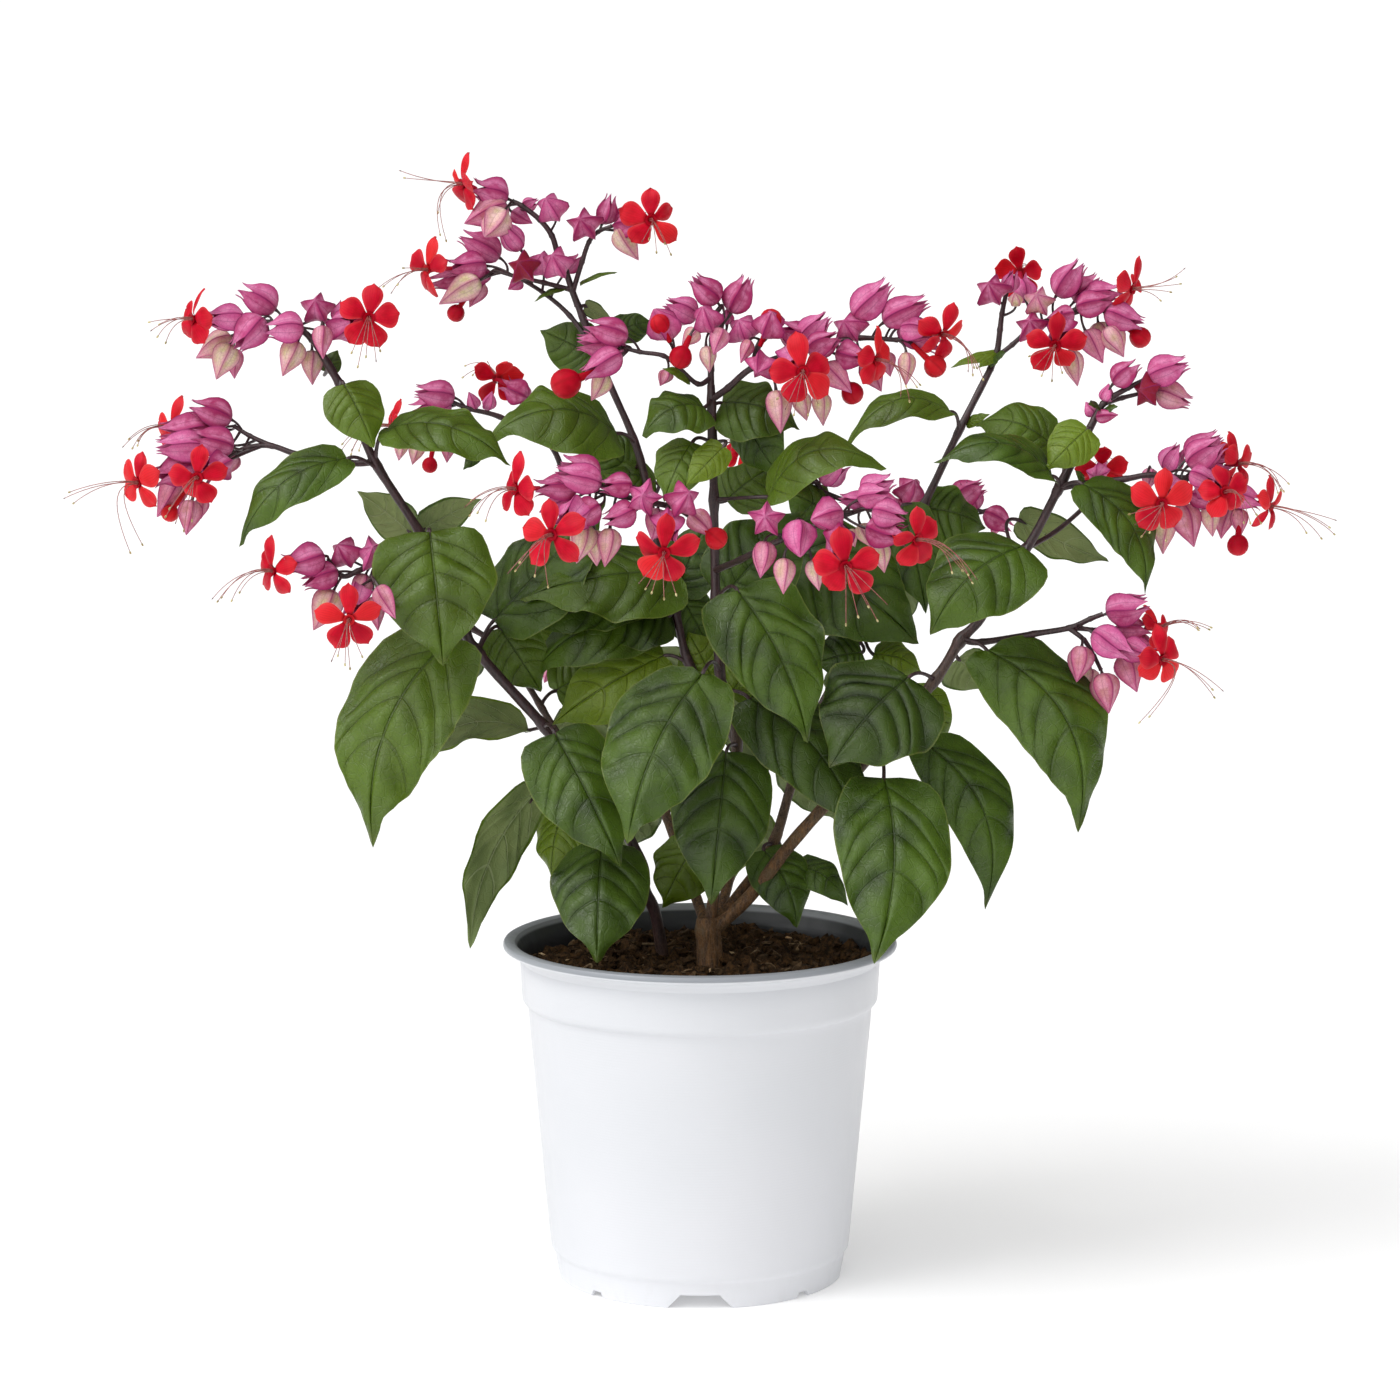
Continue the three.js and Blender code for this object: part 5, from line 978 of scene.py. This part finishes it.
# %% Bud and bloom tables
# A bud: where its tube starts (column, row, depth), the middle of the bud, its radius.
# A bloom: its middle (column, row, depth), the way it looks (turn, tilt), the petals' spin,
# the width across, and the base of its calyx (column, row, depth).
BUDS = table("""
top_left: 470 290 40 456 313 3.9
far_left: 184 492 -8 170 513 3.8
back_left: 434 442 70 430 465 3.6
centre_left: 704 528 -74 716 538 4.7
centre_top: 690 336 -14 681 357 5 ; 604 368 -20 566 383 6.6 ; 670 342 -12 660 324 4.3
top_centre: 912 344 -2 935 366 4.9 ; 844 376 -6 852 393 4.9 ; 760 346 -12 771 320 4.8
right_high: 1120 322 76 1140 337 4.9
far_right: 1239 520 -8 1238 545 4.7 ; 1212 466 8 1222 450 3.6
""")
BLOOMS = table("""
top_left: 461 184 42 -62 -8 8 27 508 199 46 ; 426 270 34 -52 -5 6 28 486 266 44 ; 651 220 28 8 -5
  -6 29 618 230 46
left_high: 191 319 -24 -55 -4 8 27 244 318 -14 ; 369 318 -30 5 -5 4 30 332 330 -12
far_left: 170 428 8 -47 6 4 28 224 444 6 ; 136 483 -22 -46 -5 8 28 192 466 -10 ; 197 478 -40 0 0
  -4 28 226 462 -18
left_low: 271 571 -32 -52 0 6 28 325 556 -26 ; 349 620 -54 0 -6 0 30 358 590 -30
back_left: 497 378 88 -150 30 6 27 528 398 80 ; 390 426 74 -67 0 0 26 440 418 84
centre_left: 514 489 -82 -56 0 6 27 578 487 -78 ; 551 535 -106 -14 -5 2 31 584 506 -84 ; 664 553
  -106 0 -6 0 32 668 516 -80
top_centre: 803 372 -38 0 5 -14 31 788 352 -12 ; 878 360 -16 50 -12 0 27 836 354 -8 ; 944 335 -8
  47 -16 6 27 900 328 -2
right_high: 1020 272 96 170 18 0 27 1026 300 84 ; 1055 346 50 -5 -5 4 30 1064 322 74 ; 1134 289 72
  61 -8 10 27 1084 298 78
far_right: 1162 504 -34 0 -4 0 31 1174 482 -10 ; 1240 464 -2 55 0 8 28 1196 470 -2 ; 1226 492 -30
  20 5 -8 26 1200 484 -8 ; 1272 507 -8 55 -14 0 27 1230 494 -6
right_low: 1164 660 -30 36 -10 -8 29 1122 646 -20 ; 1160 628 -6 50 20 8 24 1116 628 -8
centre_right: 846 567 -108 0 -5 -4 32 836 530 -84 ; 918 540 -92 36 -5 -8 28 866 528 -84
right_back: 1102 468 28 172 22 0 28 1096 477 12
back_centre: 740 450 92 -25 25 0 22 764 466 98
behind_left: 556 640 113 -150 15 0 24 572 650 102
behind_right: 764 610 113 150 15 0 24 780 622 104
""")
print(sum(map(len, CALYCES.values())), "calyces,", sum(map(len, BLOOMS.values())), "blooms")


# %% Stalks of a spray
class Spray:
    """The stalks of a spray and the places on them where flower stalks may leave."""

    def __init__(self, branches):
        self.wood, places = [], []
        for number, path in enumerate(branches):
            line = smooth_line(spot(path), 9)
            thick = (1.5, 1.0) if number == 0 else (1.15, 0.85)
            knots = 0.22 * hump(np.arange(len(line)) % 9, 0, 1.0)
            self.wood.append(tube(line, between(*thick, len(line)) + knots, 8, young=1.0))
            places.append(line[2:])
        self.places = np.vstack(places)
        self.taken = np.zeros(len(self.places))

    def stalk(self, base, axis, girth):
        """A flower stalk: from the place nearest to 6 mm behind the base, in a bow to the base."""
        apart = np.linalg.norm(self.places - (base - 6 * axis), axis=-1)
        best = int(np.argmin(apart + self.taken))
        near = np.linalg.norm(self.places - self.places[best], axis=-1)
        self.taken += 4 * np.exp(-(near / 2.5) ** 2)
        root = self.places[best]
        line = bow(root, base - 0.4 * np.linalg.norm(base - root) * axis, base + 0.4 * axis, 8)
        share = between(0, 1, 8)
        radius = girth * (1 + 0.25 * hump(share, 0, 0.15) + 0.6 * hump(share, 1, 0.12))
        self.wood.append(tube(line, radius, 6, young=1.0))


print("a flower stalk has", 2 * 8 * 6, "triangles")

# %% [markdown]
# ## Calyces
#
# A calyx is a papery lantern of five leaves joined at their edges: round at its base, widest
# low down, with five sharp keels that run to a drawn-out point. Closed, its outline tapers to
# one point. Open, the five points part and flare, and one looks into a darker heart. Both are
# one surface of the way up and the way round: the radius is the outline's, pinched between the
# keels, and for an open one the height of the rim changes round it.

# %% Calyx shape
CALYX_CORNERS = 30
ROUND = np.arange(CALYX_CORNERS) * 2 * np.pi / CALYX_CORNERS
FROM_KEEL = np.abs((ROUND * 5 / (2 * np.pi) + 0.5) % 1 - 0.5) * 2
OUTLINES = {
    "closed": ([0, 0.03, 0.1, 0.2, 0.3, 0.42, 0.56, 0.7, 0.82, 0.9, 0.96, 1],
               [0, 0.42, 0.74, 0.94, 1.0, 0.96, 0.8, 0.56, 0.33, 0.19, 0.09, 0]),
    "open": ([0, 0.03, 0.1, 0.2, 0.33, 0.45, 0.6, 0.75, 0.88, 1.0],
             [0, 0.36, 0.66, 0.89, 1.0, 0.98, 0.84, 0.66, 0.5, 0.5]),
    "star": ([0, 0.05, 0.15, 0.3, 0.5, 0.7, 0.85, 0.95, 1.0],
             [0, 0.4, 0.72, 0.97, 1.0, 0.72, 0.4, 0.18, 0]),
    "holding": ([0, 0.03, 0.1, 0.2, 0.33, 0.5, 0.68, 0.84, 1.0],
                [0, 0.36, 0.66, 0.89, 1.0, 0.92, 0.66, 0.52, 0.74]),
}


def calyx_body(base, tip, kind, pale, dice, mouth=0.0):
    """One calyx.

    The keels keep the full radius and the sides between them are flat, as a pentagon's, or
    drawn in further. With its points parted, the rim's height falls from the points to the
    notches at the keels, the outer surface runs up to it and the inner one, a little smaller,
    back down into the heart.
    """
    axis = (tip - base) * 1.04
    long = np.linalg.norm(axis)
    axis = axis / long
    side = any_side(axis)
    other = np.cross(axis, side)
    stout = 0.35 if kind == "closed" else 0.43
    wide = (8.0 if kind == "star" else np.clip(stout * long, 3.4, 7.5)) * (1 + 0.07 * dice.normal())
    twist = 0.25 * dice.normal()
    parted = kind in ("open", "holding")
    rows = [0.03, 0.1, 0.2, 0.33, 0.5, 0.7, 0.87, 1.0] if parted else OUTLINES[kind][0][1:-1]
    rows = np.array(rows)
    high = rows[:, None] + 0 * ROUND[None]
    if parted:
        rim = 1 - 0.36 * (1 - FROM_KEEL) ** 1.15
        high = np.concatenate([high * rim, (rows[:3:-1, None] - 0.03) * rim * 0.98])
    out = np.interp(high, *OUTLINES[kind])
    pinch = np.clip((high - 0.02) / 0.15, 0, 1)
    pinch = pinch * (1 - 0.6 * parted * np.clip(high - 0.7, 0, 0.3) / 0.3)
    flat_side = 1 - math.cos(math.pi / 5) / np.cos(math.pi / 5 * (1 - FROM_KEEL))
    drawn_in = flat_side + (0.24 if kind == "star" else 0.13) * np.sin(FROM_KEEL * np.pi / 2)
    out = wide * out * (1 - pinch * drawn_in)
    inner = np.zeros_like(high)
    if parted:
        inner[len(rows):] = 1
        out = np.maximum(out - 0.4 * inner, mouth + 0.2)
    angle = ROUND[None] + twist * high
    uneven = 1 + 0.05 * np.sin(angle * 2 + dice.random() * 6)
    droop = (0.6 if parted else 0.4) * dice.normal(size=2)[:, None, None] * high ** 2
    rings = (base + axis * (long * high)[..., None]
             + side * (out * uneven * np.cos(angle) + droop[0])[..., None]
             + other * (out * uneven * np.sin(angle) + droop[1])[..., None])
    stop = base + axis * long * (0.32 if parted else 1.0)
    if not parted:
        stop = stop + side * droop[0, -1, 0] + other * droop[1, -1, 0]
    keel = np.broadcast_to(1 - FROM_KEEL, high.shape)
    return body(rings, base, stop, keel=keel, high=high, inner=inner, pale=pale, tone=dice.random())


calyx_dice = np.random.default_rng(17)
trial = calyx_body(np.zeros(3), np.array([0, 0, 17.0]), "open", 0.0, np.random.default_rng(1))
print("an open calyx has", 2 * len(trial["sides"]) + len(trial["ends"]), "triangles")

# %% [markdown]
# ## Calyx surface
#
# The paper of a calyx is magenta pink, purple along the keels and the net of veins, with a
# painted highlight in light pink patches on its flat sides; old ones pale to cream between
# the keels. Light shines through it a little, which keeps its shaded side warm.

# %% Calyx finish
paper = Finish("calyx_paper", Roughness=0.5, Specular_IOR_Level=0.2, Subsurface_Weight=0.15,
               Subsurface_Radius=(1.0, 0.35, 0.6), Subsurface_Scale=0.002)
keel, high, inner = paper.number("keel"), paper.number("high"), paper.number("inner")
pale, tone = paper.number("pale"), paper.number("tone")
mottle = paper.noise(260, 3)
pink = paper.lay("A82460", "D25A96", tone, 0.0, 1.0)
# Painted highlight: light pink laid in mottled patches over the flat sides, away from the keels.
flat = paper.times(paper.steps(mottle, 0.25, 0.65), paper.steps(keel, 0.9, 0.3))
pink = paper.mix(paper.times(flat, 0.6), pink, "EE9CC6")
cream = paper.lay("DCD29E", "F2D6CA", mottle, 0.3, 0.7)
cream = paper.lay(cream, "D57BA2", high, 0.4, 1.0, 0.7)
cream = paper.lay(cream, "D2749E", keel, 0.3, 1.0, 0.65)
faces = paper.lay(pink, cream, pale, 0.0, 1.0)
faces = paper.lay(faces, "8E1830", pale, -0.2, -0.8)
middle_vein = paper.times(paper.steps(keel, 0.1, 0.01), 0.4)
keels = paper.sum("MAXIMUM", paper.steps(keel, 0.84, 0.98), middle_vein)
keels = paper.times(keels, paper.steps(pale, 1.6, 0.0, 0.35, 0.85))
faces = paper.mix(keels, faces, "84205A")
streaks = paper.steps(paper.cells(620), 0.1, 0.0)
faces = paper.mix(paper.times(streaks, 0.25), faces, "8E2A5E")
faces = paper.lay(faces, "8A4A6C", high, 0.84, 1.05, 0.5)
faces = paper.lay(faces, "7C2C50", high, 0.12, 0.0, 0.5)
faces = paper.mix(paper.times(inner, 0.5), faces, "8E2058")
crinkle = paper.bump(streaks, 0.00025, -0.5)
crinkle = paper.bump(paper.noise(900, 3), 0.0002, 0.4, crinkle)
calyx_finish = paper.wear(faces, paper.steps(mottle, 0.2, 0.8, 0.42, 0.58), crinkle)
print("calyx finish ready")

# %% [markdown]
# ## Buds and petals
#
# A bud is a coral red ball on a short tube, with faint darker lines where its petals fold:
# partly their seams, partly painted shade in the furrows. An open bloom is a slim tube that
# leaves its calyx and spreads into five rounded petals, narrow at their foot. Each petal is a
# thin blade like a leaf's, its sides and its end rolled back.


# %% Bud and bloom shapes
def bud_body(start, middle, radius, dice):
    """A bud: a tube, then a ball; the radius is that of a circle, with five shallow furrows."""
    line = middle - start
    long = np.linalg.norm(line)
    along_bud = line / long
    side = any_side(along_bud)
    other = np.cross(along_bud, side)
    slope = between(-0.8 * np.pi / 2, np.pi / 2, 9)[:-1]
    far = np.concatenate([[0, 0.5 * max(long - radius, 0.1)], long + radius * np.sin(slope)])
    out = np.concatenate([[1.0, 1.25], radius * np.cos(slope) * (1 + 0.06 * np.sin(slope))])
    turn = np.arange(15) * 2 * np.pi / 15
    furrow = 1 - 0.08 * np.abs(np.cos(2.5 * turn)) ** 6
    spoke = np.cos(turn)[:, None] * side + np.sin(turn)[:, None] * other
    rings = start + far[:, None, None] * along_bud + (out[:, None] * furrow)[..., None] * spoke
    high = np.clip((far - long + radius) / (2 * radius), 0, 1)[:, None]
    return body(rings, start, middle + along_bud * radius, high=high, throat=0.0,
                tone=dice.random(), across=0.0, fold=np.abs(np.cos(2.5 * turn))[None])


def turned(first, second, angle):
    """Two directions, both turned by an angle from the first towards the second."""
    cos, sin = math.cos(angle), math.sin(angle)
    return cos * first + sin * second, cos * second - sin * first


def petal_body(middle, look, out, reach, half, cup, dice):
    """A petal: its half width grows with a sine and ends bluntly; it rises and rolls back.

    It first leans back and rolls by a chance angle. Lift is a low rise along it, minus a fall
    towards its end and towards both margins, with a shallow groove in the middle.
    """
    lean, roll = math.radians(12 + 9 * dice.normal()), math.radians(15 * dice.normal())
    out, up = turned(out, look, -lean)
    side, up = turned(np.cross(up, out), up, roll)
    far = between(0, 1, 12)[:, None]
    across = between(1, -1, 9)[None]
    end = np.clip(1 - np.clip((far - 0.62) / 0.385, 0, 1) ** 2.1, 0, 1) ** 0.62
    width = half * (0.24 + 0.76 * np.sin(np.pi / 2 * np.clip(far / 0.64, 0, 1)) ** 1.35) * end
    ripple = 0.4 * np.sin(across * 4 + dice.random() * 6) * far ** 2
    lift = (-1.0 + 1.0 * np.clip(far / 0.12, 0, 1) + cup * np.sin(np.pi * far * 0.8)
            - 1.5 * cup * far ** 3 - 1.3 * across ** 2 * np.sin(np.pi * far)
            - 0.4 * np.exp(-(across / 0.2) ** 2) * far + ripple)
    skew = 0.8 * dice.normal() * far ** 2
    face = (middle + out * (1.5 + (reach - 1.5) * far - 0.6 * far ** 3 * across ** 2)[..., None]
            + side * (width * across + skew)[..., None] + up * lift[..., None])
    thick = 0.28 * (1 - np.abs(across) ** 6) * (1 + 0 * far)
    rings = over_and_under(face, up, thick)
    # The throat number marks the foot of the petal, which the finish darkens, partly with painted
    # shade.
    throat = np.clip(1 - far / 0.2, 0, 1) + 0 * across
    return body(rings, high=both_faces(far + 0 * across), throat=both_faces(throat),
                tone=dice.random(), across=both_faces(across + 0 * far), fold=0.0)


def bloom_bodies(row, dice):
    """The tube and the five petals of a bloom, and where its calyx ends."""
    middle, base = spot(row[:3] + row[7:])
    look, spin, size = facing(row[3], row[4]), math.radians(row[5]), row[6]
    away = middle - base
    mouth = base + unit(away) * min(17.5, 0.76 * np.linalg.norm(away))
    up = square_to(np.array([0, 0, 1.0]), look)
    side = np.cross(up, look)
    bend = middle - look * 0.45 * np.linalg.norm(middle - mouth)
    line = bow(mouth - unit(away) * 2.0, bend, middle + look * 0.1, 10)
    flare = np.array([0.9, 0.95, 1.0, 1.05, 1.1, 1.15, 1.25, 1.5, 1.95, 2.5])
    tube_body = tube(line, flare, 10, high=between(-0.6, 0, 10)[:, None], throat=0.0,
                     tone=dice.random(), across=0.0, fold=0.0)
    tube_body["points"][-1] = middle - look * 1.6
    # The bottom of the throat takes the full mark, where the finish paints the deepest shade.
    tube_body["values"]["throat"][-1] = 1.0
    bodies = [tube_body]
    for petal in range(5):
        angle = spin - 2 * math.pi * petal / 5 + 0.1 * dice.normal()
        out = up * math.cos(angle) + side * math.sin(angle)
        reach = size / 2 * (0.93 + 0.06 * dice.normal() + 0.12 * (petal == 0))
        half = 0.35 * size / 2 * (1 + 0.07 * dice.normal() - 0.18 * (petal == 0))
        bodies.append(petal_body(middle, look, out, reach, half, 1.1 + 0.4 * dice.normal(), dice))
    return bodies, base, mouth, middle, look, up, side


petal_dice = np.random.default_rng(29)
print("a petal has", 2 * 10 * 16, "triangles")

# %% Petal finish
scarlet = Finish("petal", Roughness=0.44, Specular_IOR_Level=0.1, Subsurface_Weight=0.22,
                 Subsurface_Radius=(1.0, 0.15, 0.12), Subsurface_Scale=0.002)
high, throat, tone = scarlet.number("high"), scarlet.number("throat"), scarlet.number("tone")
across, fold = scarlet.number("across"), scarlet.number("fold")
soft = scarlet.noise(210, 3)
red = scarlet.lay("B4001E", "D20A2C", soft, 0.3, 0.7)
red = scarlet.lay(red, "EE3030", tone, 0.55, 1.0, 0.65)
red = scarlet.lay(red, "A60424", tone, 0.4, 0.0, 0.6)
# Painted highlight: lighter red towards the ends of the petals and the far ends of the buds.
red = scarlet.lay(red, "F04048", high, 0.5, 1.0, 0.4)
red = scarlet.lay(red, "F25654", scarlet.sum("ABSOLUTE", across), 0.6, 1.0, 0.3)
lines = scarlet.sum("PINGPONG", scarlet.times(across, 4.5), 0.5)
lines = scarlet.steps(lines, 0.14, 0.0)
red = scarlet.mix(scarlet.times(lines, 0.3), red, "9A0618")
# Darker bands along the buds' furrows: partly the seams of the folded petals, partly painted shade
# in the furrows.
red = scarlet.lay(red, "A30F1D", fold, 0.75, 1.0, 0.6)
# Darker towards the throat: the petals' own darker feet, with painted shade deep in the throat
# where they meet.
red = scarlet.lay(red, "7A0612", throat, 0.1, 0.9, 0.85)
red = scarlet.lay(red, "B8264A", high, 0.0, -0.4, 0.6)
silk = scarlet.bump(lines, 0.00012, -0.5)
silk = scarlet.bump(scarlet.noise(1500, 2), 0.00008, 0.3, silk)
petal_finish = scarlet.wear(red, scarlet.steps(soft, 0.2, 0.8, 0.38, 0.5), silk)
print("petal finish ready")

# %% [markdown]
# ## Stamens
#
# Four thin filaments and a longer style leave each throat, run straight out and then curve
# down or up like the whiskers of a cat, each anther a tiny cream bead. Where the real ones
# stand clear of the plant their ends are noted; the others are spread by a fixed chance.

# %% Stamen table
# A row: the number of a bloom of the spray, counted from nought, and where its style and its
# four filaments end (column, row, depth).
STAMEN_ENDS = {(key, int(row[0])): row[1:] for key, rows in table("""
far_left: 1 65 498 -22 70 492 -26 74 503 -20 130 552 -34 142 544 -26 ; 2 176 522 -58 184 530 -62
  166 516 -52 192 520 -60 170 508 -60
far_right: 3 1335 520 -8 1329 527 -12 1334 534 -6 1306 532 -14 1321 538 -10 ; 0 1136 524 -58 1142
  536 -60 1150 532 -64 1166 540 -62 1130 514 -56
right_low: 0 1222 690 -40 1214 697 -36 1212 689 -44 1140 722 -52 1150 716 -50
top_left: 0 401 171 40 405 178 44 446 240 36 440 234 30 438 212 40 ; 1 392 292 30 398 284 26 404
  268 30 384 286 34 376 290 30
right_high: 2 1184 269 72 1176 277 76 1180 284 70 1170 292 66 1160 300 68 ; 1 1036 366 30 1042 375
  28 1052 380 32 1062 372 28 1030 356 34
centre_right: 1 976 578 -112 968 574 -118 972 582 -108 962 570 -104 952 572 -116 ; 0 886 603 -122
  877 620 -118 846 624 -124 858 616 -126 868 606 -120
centre_left: 0 466 506 -84 472 500 -80 478 512 -88 470 515 -82 486 520 -84 ; 1 509 572 -124 520
  562 -128 535 575 -122 548 586 -124 516 570 -118 ; 2 640 582 -126 652 592 -124 664 598 -128 676
  594 -122 646 588 -130
left_low: 0 213 598 -34 222 597 -30 232 600 -38 218 601 -32 240 592 -30 ; 1 332 660 -68 345 664
  -72 350 668 -66 338 655 -70 362 656 -74
left_high: 1 376 360 -46 366 356 -48 352 352 -44 358 366 -50 380 350 -42 ; 0 152 330 -28 160 324
  -24 158 336 -30 166 342 -26 150 322 -30
top_centre: 0 786 408 -56 794 414 -60 808 414 -58 818 404 -56 778 398 -54
""").items() for row in rows}


# %% Stamen shape
def stamen_bodies(middle, look, up, side, ends, dice):
    """Filaments with their anthers.

    Each filament is a bow: it leaves along the way that the bloom looks and bends to its end.
    An anther is a ball drawn out to twice its width.
    """
    if ends is None:
        spread = np.array([-1, -0.5, 0, 0.55, 1.0])[:, None]
        length = 20 + 5 * dice.random((5, 1))
        ends = (middle + look * length * (0.8 + 0.15 * dice.random((5, 1))) + side * spread * 6
                - up * (5 + 8 * dice.random((5, 1))))
    else:
        ends = spot(ends)
    bodies = []
    for number, end in enumerate(ends):
        start = middle + 0.6 * turned(side, up, 1.3 * number)[0] - look * 0.8
        far = np.linalg.norm(end - start)
        line = bow(start, start + look * 0.6 * far + up * 0.12 * far, end, 12)
        style = number == 0
        bodies.append(tube(line, between(0.22, 0.15, 12), 5, bead=0.0, style=float(style)))
        tip = unit(line[-1] - line[-2])
        slope = between(-1.2, 1.2, 4)[:, None]
        beads = line[-1] + tip * (0.3 + 0.75 * np.sin(slope))
        size = (0.24 if style else 0.46) * np.cos(slope[:, 0])
        bodies.append(tube(beads, size, 6, bead=1.0, style=float(style)))
    return bodies


# %% Stamen finish
thread = Finish("stamen", Roughness=0.5, Subsurface_Weight=0.1)
bead, style = thread.number("bead"), thread.number("style")
shine = thread.noise(700, 2)
filament = thread.lay("7E2C36", "A85E58", shine, 0.3, 0.7)
pollen = thread.lay("83703C", "D8C88E", shine, 0.35, 0.65)
pollen = thread.mix(style, pollen, "5B2E2C")
dust = thread.bump(thread.noise(2500, 2), 0.0001, 0.4)
gloss = thread.steps(shine, 0.2, 0.8, 0.4, 0.6)
stamen_finish = thread.wear(thread.mix(bead, filament, pollen), gloss, dust)
print("stamen finish ready")

# %% [markdown]
# ## Bracts
#
# Where a spray forks, a few narrow leaflets stand at the joint. They are blades like the
# leaves, only small, and share their finish.

# %% Bract table
# A row: foot (column, row, depth), tip (column, row, depth), width, turn, tilt, arch.
BRACTS = table("""
top_left: 580 284 46 618 272 44 5 0 60 2 ; 566 288 46 534 302 44 5 0 60 2
right_high: 1000 352 80 950 368 72 7 0 50 2 ; 996 356 80 978 368 70 6 -20 30 1 ; 990 362 79 1006
  352 70 8 20 30 1
right_tip: 1100 408 0 1088 404 -8 6 0 40 1 ; 1102 412 0 1118 406 -6 6 10 40 1
centre_top: 690 382 -6 662 368 -12 6 0 45 2
back_left: 480 452 82 463 470 76 6 -10 20 1
back_centre: 966 424 72 990 414 66 6 10 30 1
left_low: 404 556 -14 388 548 -20 4 -10 40 1
far_right: 1084 484 -4 1076 470 -8 5 0 40 1
""")

# %% All sprays
bract_dice = np.random.default_rng(41)
for key, branches in BRANCHES.items():
    spray, lanterns, balls, petals, threads, leaflets = Spray(branches), [], [], [], [], []
    node, blooms = f"spray_{key}", BLOOMS.get(key, [])
    own = [] if key in ("back_centre", "behind_left", "behind_right") else [
        f"bloom_{key}_{number + 1}" for number in range(len(blooms))]
    for row in CALYCES.get(key, []):
        base, tip = spot([row[0:3], [row[3], row[4], row[2] - row[5]]])
        spray.stalk(base, unit(tip - base), 0.55)
        kind = "star" if row[5] >= 6 else "open" if row[6] else "closed"
        lanterns.append(calyx_body(base, tip, kind, row[7], calyx_dice))
    for row in BUDS.get(key, []):
        start, middle = spot([row[0:3], [row[3], row[4], row[2] - 2]])
        spray.stalk(start, unit(middle - start), 0.6)
        balls.append(bud_body(start, middle, row[5], petal_dice))
    for number, row in enumerate(blooms):
        bodies, base, mouth, middle, look, up, side = bloom_bodies(row, petal_dice)
        spray.stalk(base, unit(mouth - base), 0.6)
        lanterns.append(calyx_body(base, mouth, "holding", 0.05, calyx_dice, 1.0))
        petals += bodies
        threads += stamen_bodies(middle, look, up, side, STAMEN_ENDS.get((key, number)), petal_dice)
    for row in BRACTS.get(key, []):
        foot, tip = spot(row[:6])
        width, turn, tilt, arch = row[6:]
        leaflets += leaf_bodies(foot, foot, tip, width, facing(turn, tilt), arch, 0, bract_dice)[:1]
    for kind, bodies, finish, slot, nodes, crease in (
            ("stalks", spray.wood, bark_finish, "bark", [node], 50),
            ("calyces", lanterns, calyx_finish, "calyx", [node], 55),
            ("buds", balls, petal_finish, "petal", [node], 50),
            ("bracts", leaflets, leaf_finish, "leaf", [node], 75),
            ("petals", petals, petal_finish, "petal", own or [node], 60),
            ("stamens", threads, stamen_finish, "petal", own or [node], 50)):
        if bodies:
            make_piece(f"{kind}_{key}", bodies, finish, nodes, crease)
print(len(made), "pieces,", sum(made.values()), "triangles; most in", max(made, key=made.get))

# %% [markdown]
# ## Floor and light
#
# The plant stands on a plain white floor that runs into a white background. A broad sun from
# the front left gives the soft shadow on the right. The rest of the studio is the sky: even, but
# for a wide soft box in the direction of the sun. Mirrored in the glossy leaves, the box is
# brighter and the walls are darker, which gives a sheen on some leaves and deep green in
# others. To the camera the sky is brighter than to the plant, so that the background is white
# and the pot still has its own tone.

# %% Floor
floor_mesh = bpy.data.meshes.new("floor")
floor_mesh.from_pydata([(-8, -4, 0), (8, -4, 0), (8, 30, 0), (-8, 30, 0)], [], [(0, 1, 2, 3)])
floor = bpy.data.objects.new("floor", floor_mesh)
bpy.context.scene.collection.objects.link(floor)
paint = Finish("floor_paint", Roughness=0.85, Specular_IOR_Level=0.1,
               Emission_Color=(1, 1, 1, 1), Emission_Strength=0.2)
wash = paint.lay("F6F6F6", "FAFAFA", paint.noise(3, 2), 0.2, 0.8)
floor_mesh.materials.append(paint.wear(wash))

# %% Light
key_light = bpy.data.objects.new("key", bpy.data.lights.new("key", "SUN"))
bpy.context.scene.collection.objects.link(key_light)
key_light.data.energy = 0.95
key_light.data.angle = math.radians(30)
key_light.rotation_euler = (math.radians(42), 0, math.radians(-58))
sky = bpy.data.worlds.new("studio")
bpy.context.scene.world = sky
sky.use_nodes = True
tree = sky.node_tree


def ramp(value, low, high, start=0.0):
    """From low, where the value is at its start, evenly or smoothly to high, where it is one."""
    node = tree.nodes.new("ShaderNodeMapRange")
    node.interpolation_type = "SMOOTHSTEP" if start else "LINEAR"
    node.inputs["From Min"].default_value = start
    tree.links.new(value, node.inputs["Value"])
    for socket, number in (("To Min", low), ("To Max", high)):
        if isinstance(number, float):
            node.inputs[socket].default_value = number
        else:
            tree.links.new(number, node.inputs[socket])
    return node.outputs[0]


TO_BOX = (-0.5, -0.55, 0.67)
nearness = tree.nodes.new("ShaderNodeVectorMath")
nearness.operation = "DOT_PRODUCT"
nearness.inputs[1].default_value = TO_BOX
tree.links.new(tree.nodes.new("ShaderNodeTexCoord").outputs["Generated"], nearness.inputs[0])
rays = tree.nodes.new("ShaderNodeLightPath").outputs
wall, box = ramp(rays["Is Glossy Ray"], 0.46, 0.08), ramp(rays["Is Glossy Ray"], 1.25, 2.2)
room = ramp(nearness.outputs["Value"], wall, box, 0.3)
tree.links.new(ramp(rays["Is Camera Ray"], room, 1.05), tree.nodes["Background"].inputs["Strength"])
tree.nodes["Background"].inputs["Color"].default_value = (1, 1, 1, 1)
bpy.context.scene.view_settings.view_transform = "Standard"
print("sun energy", key_light.data.energy)
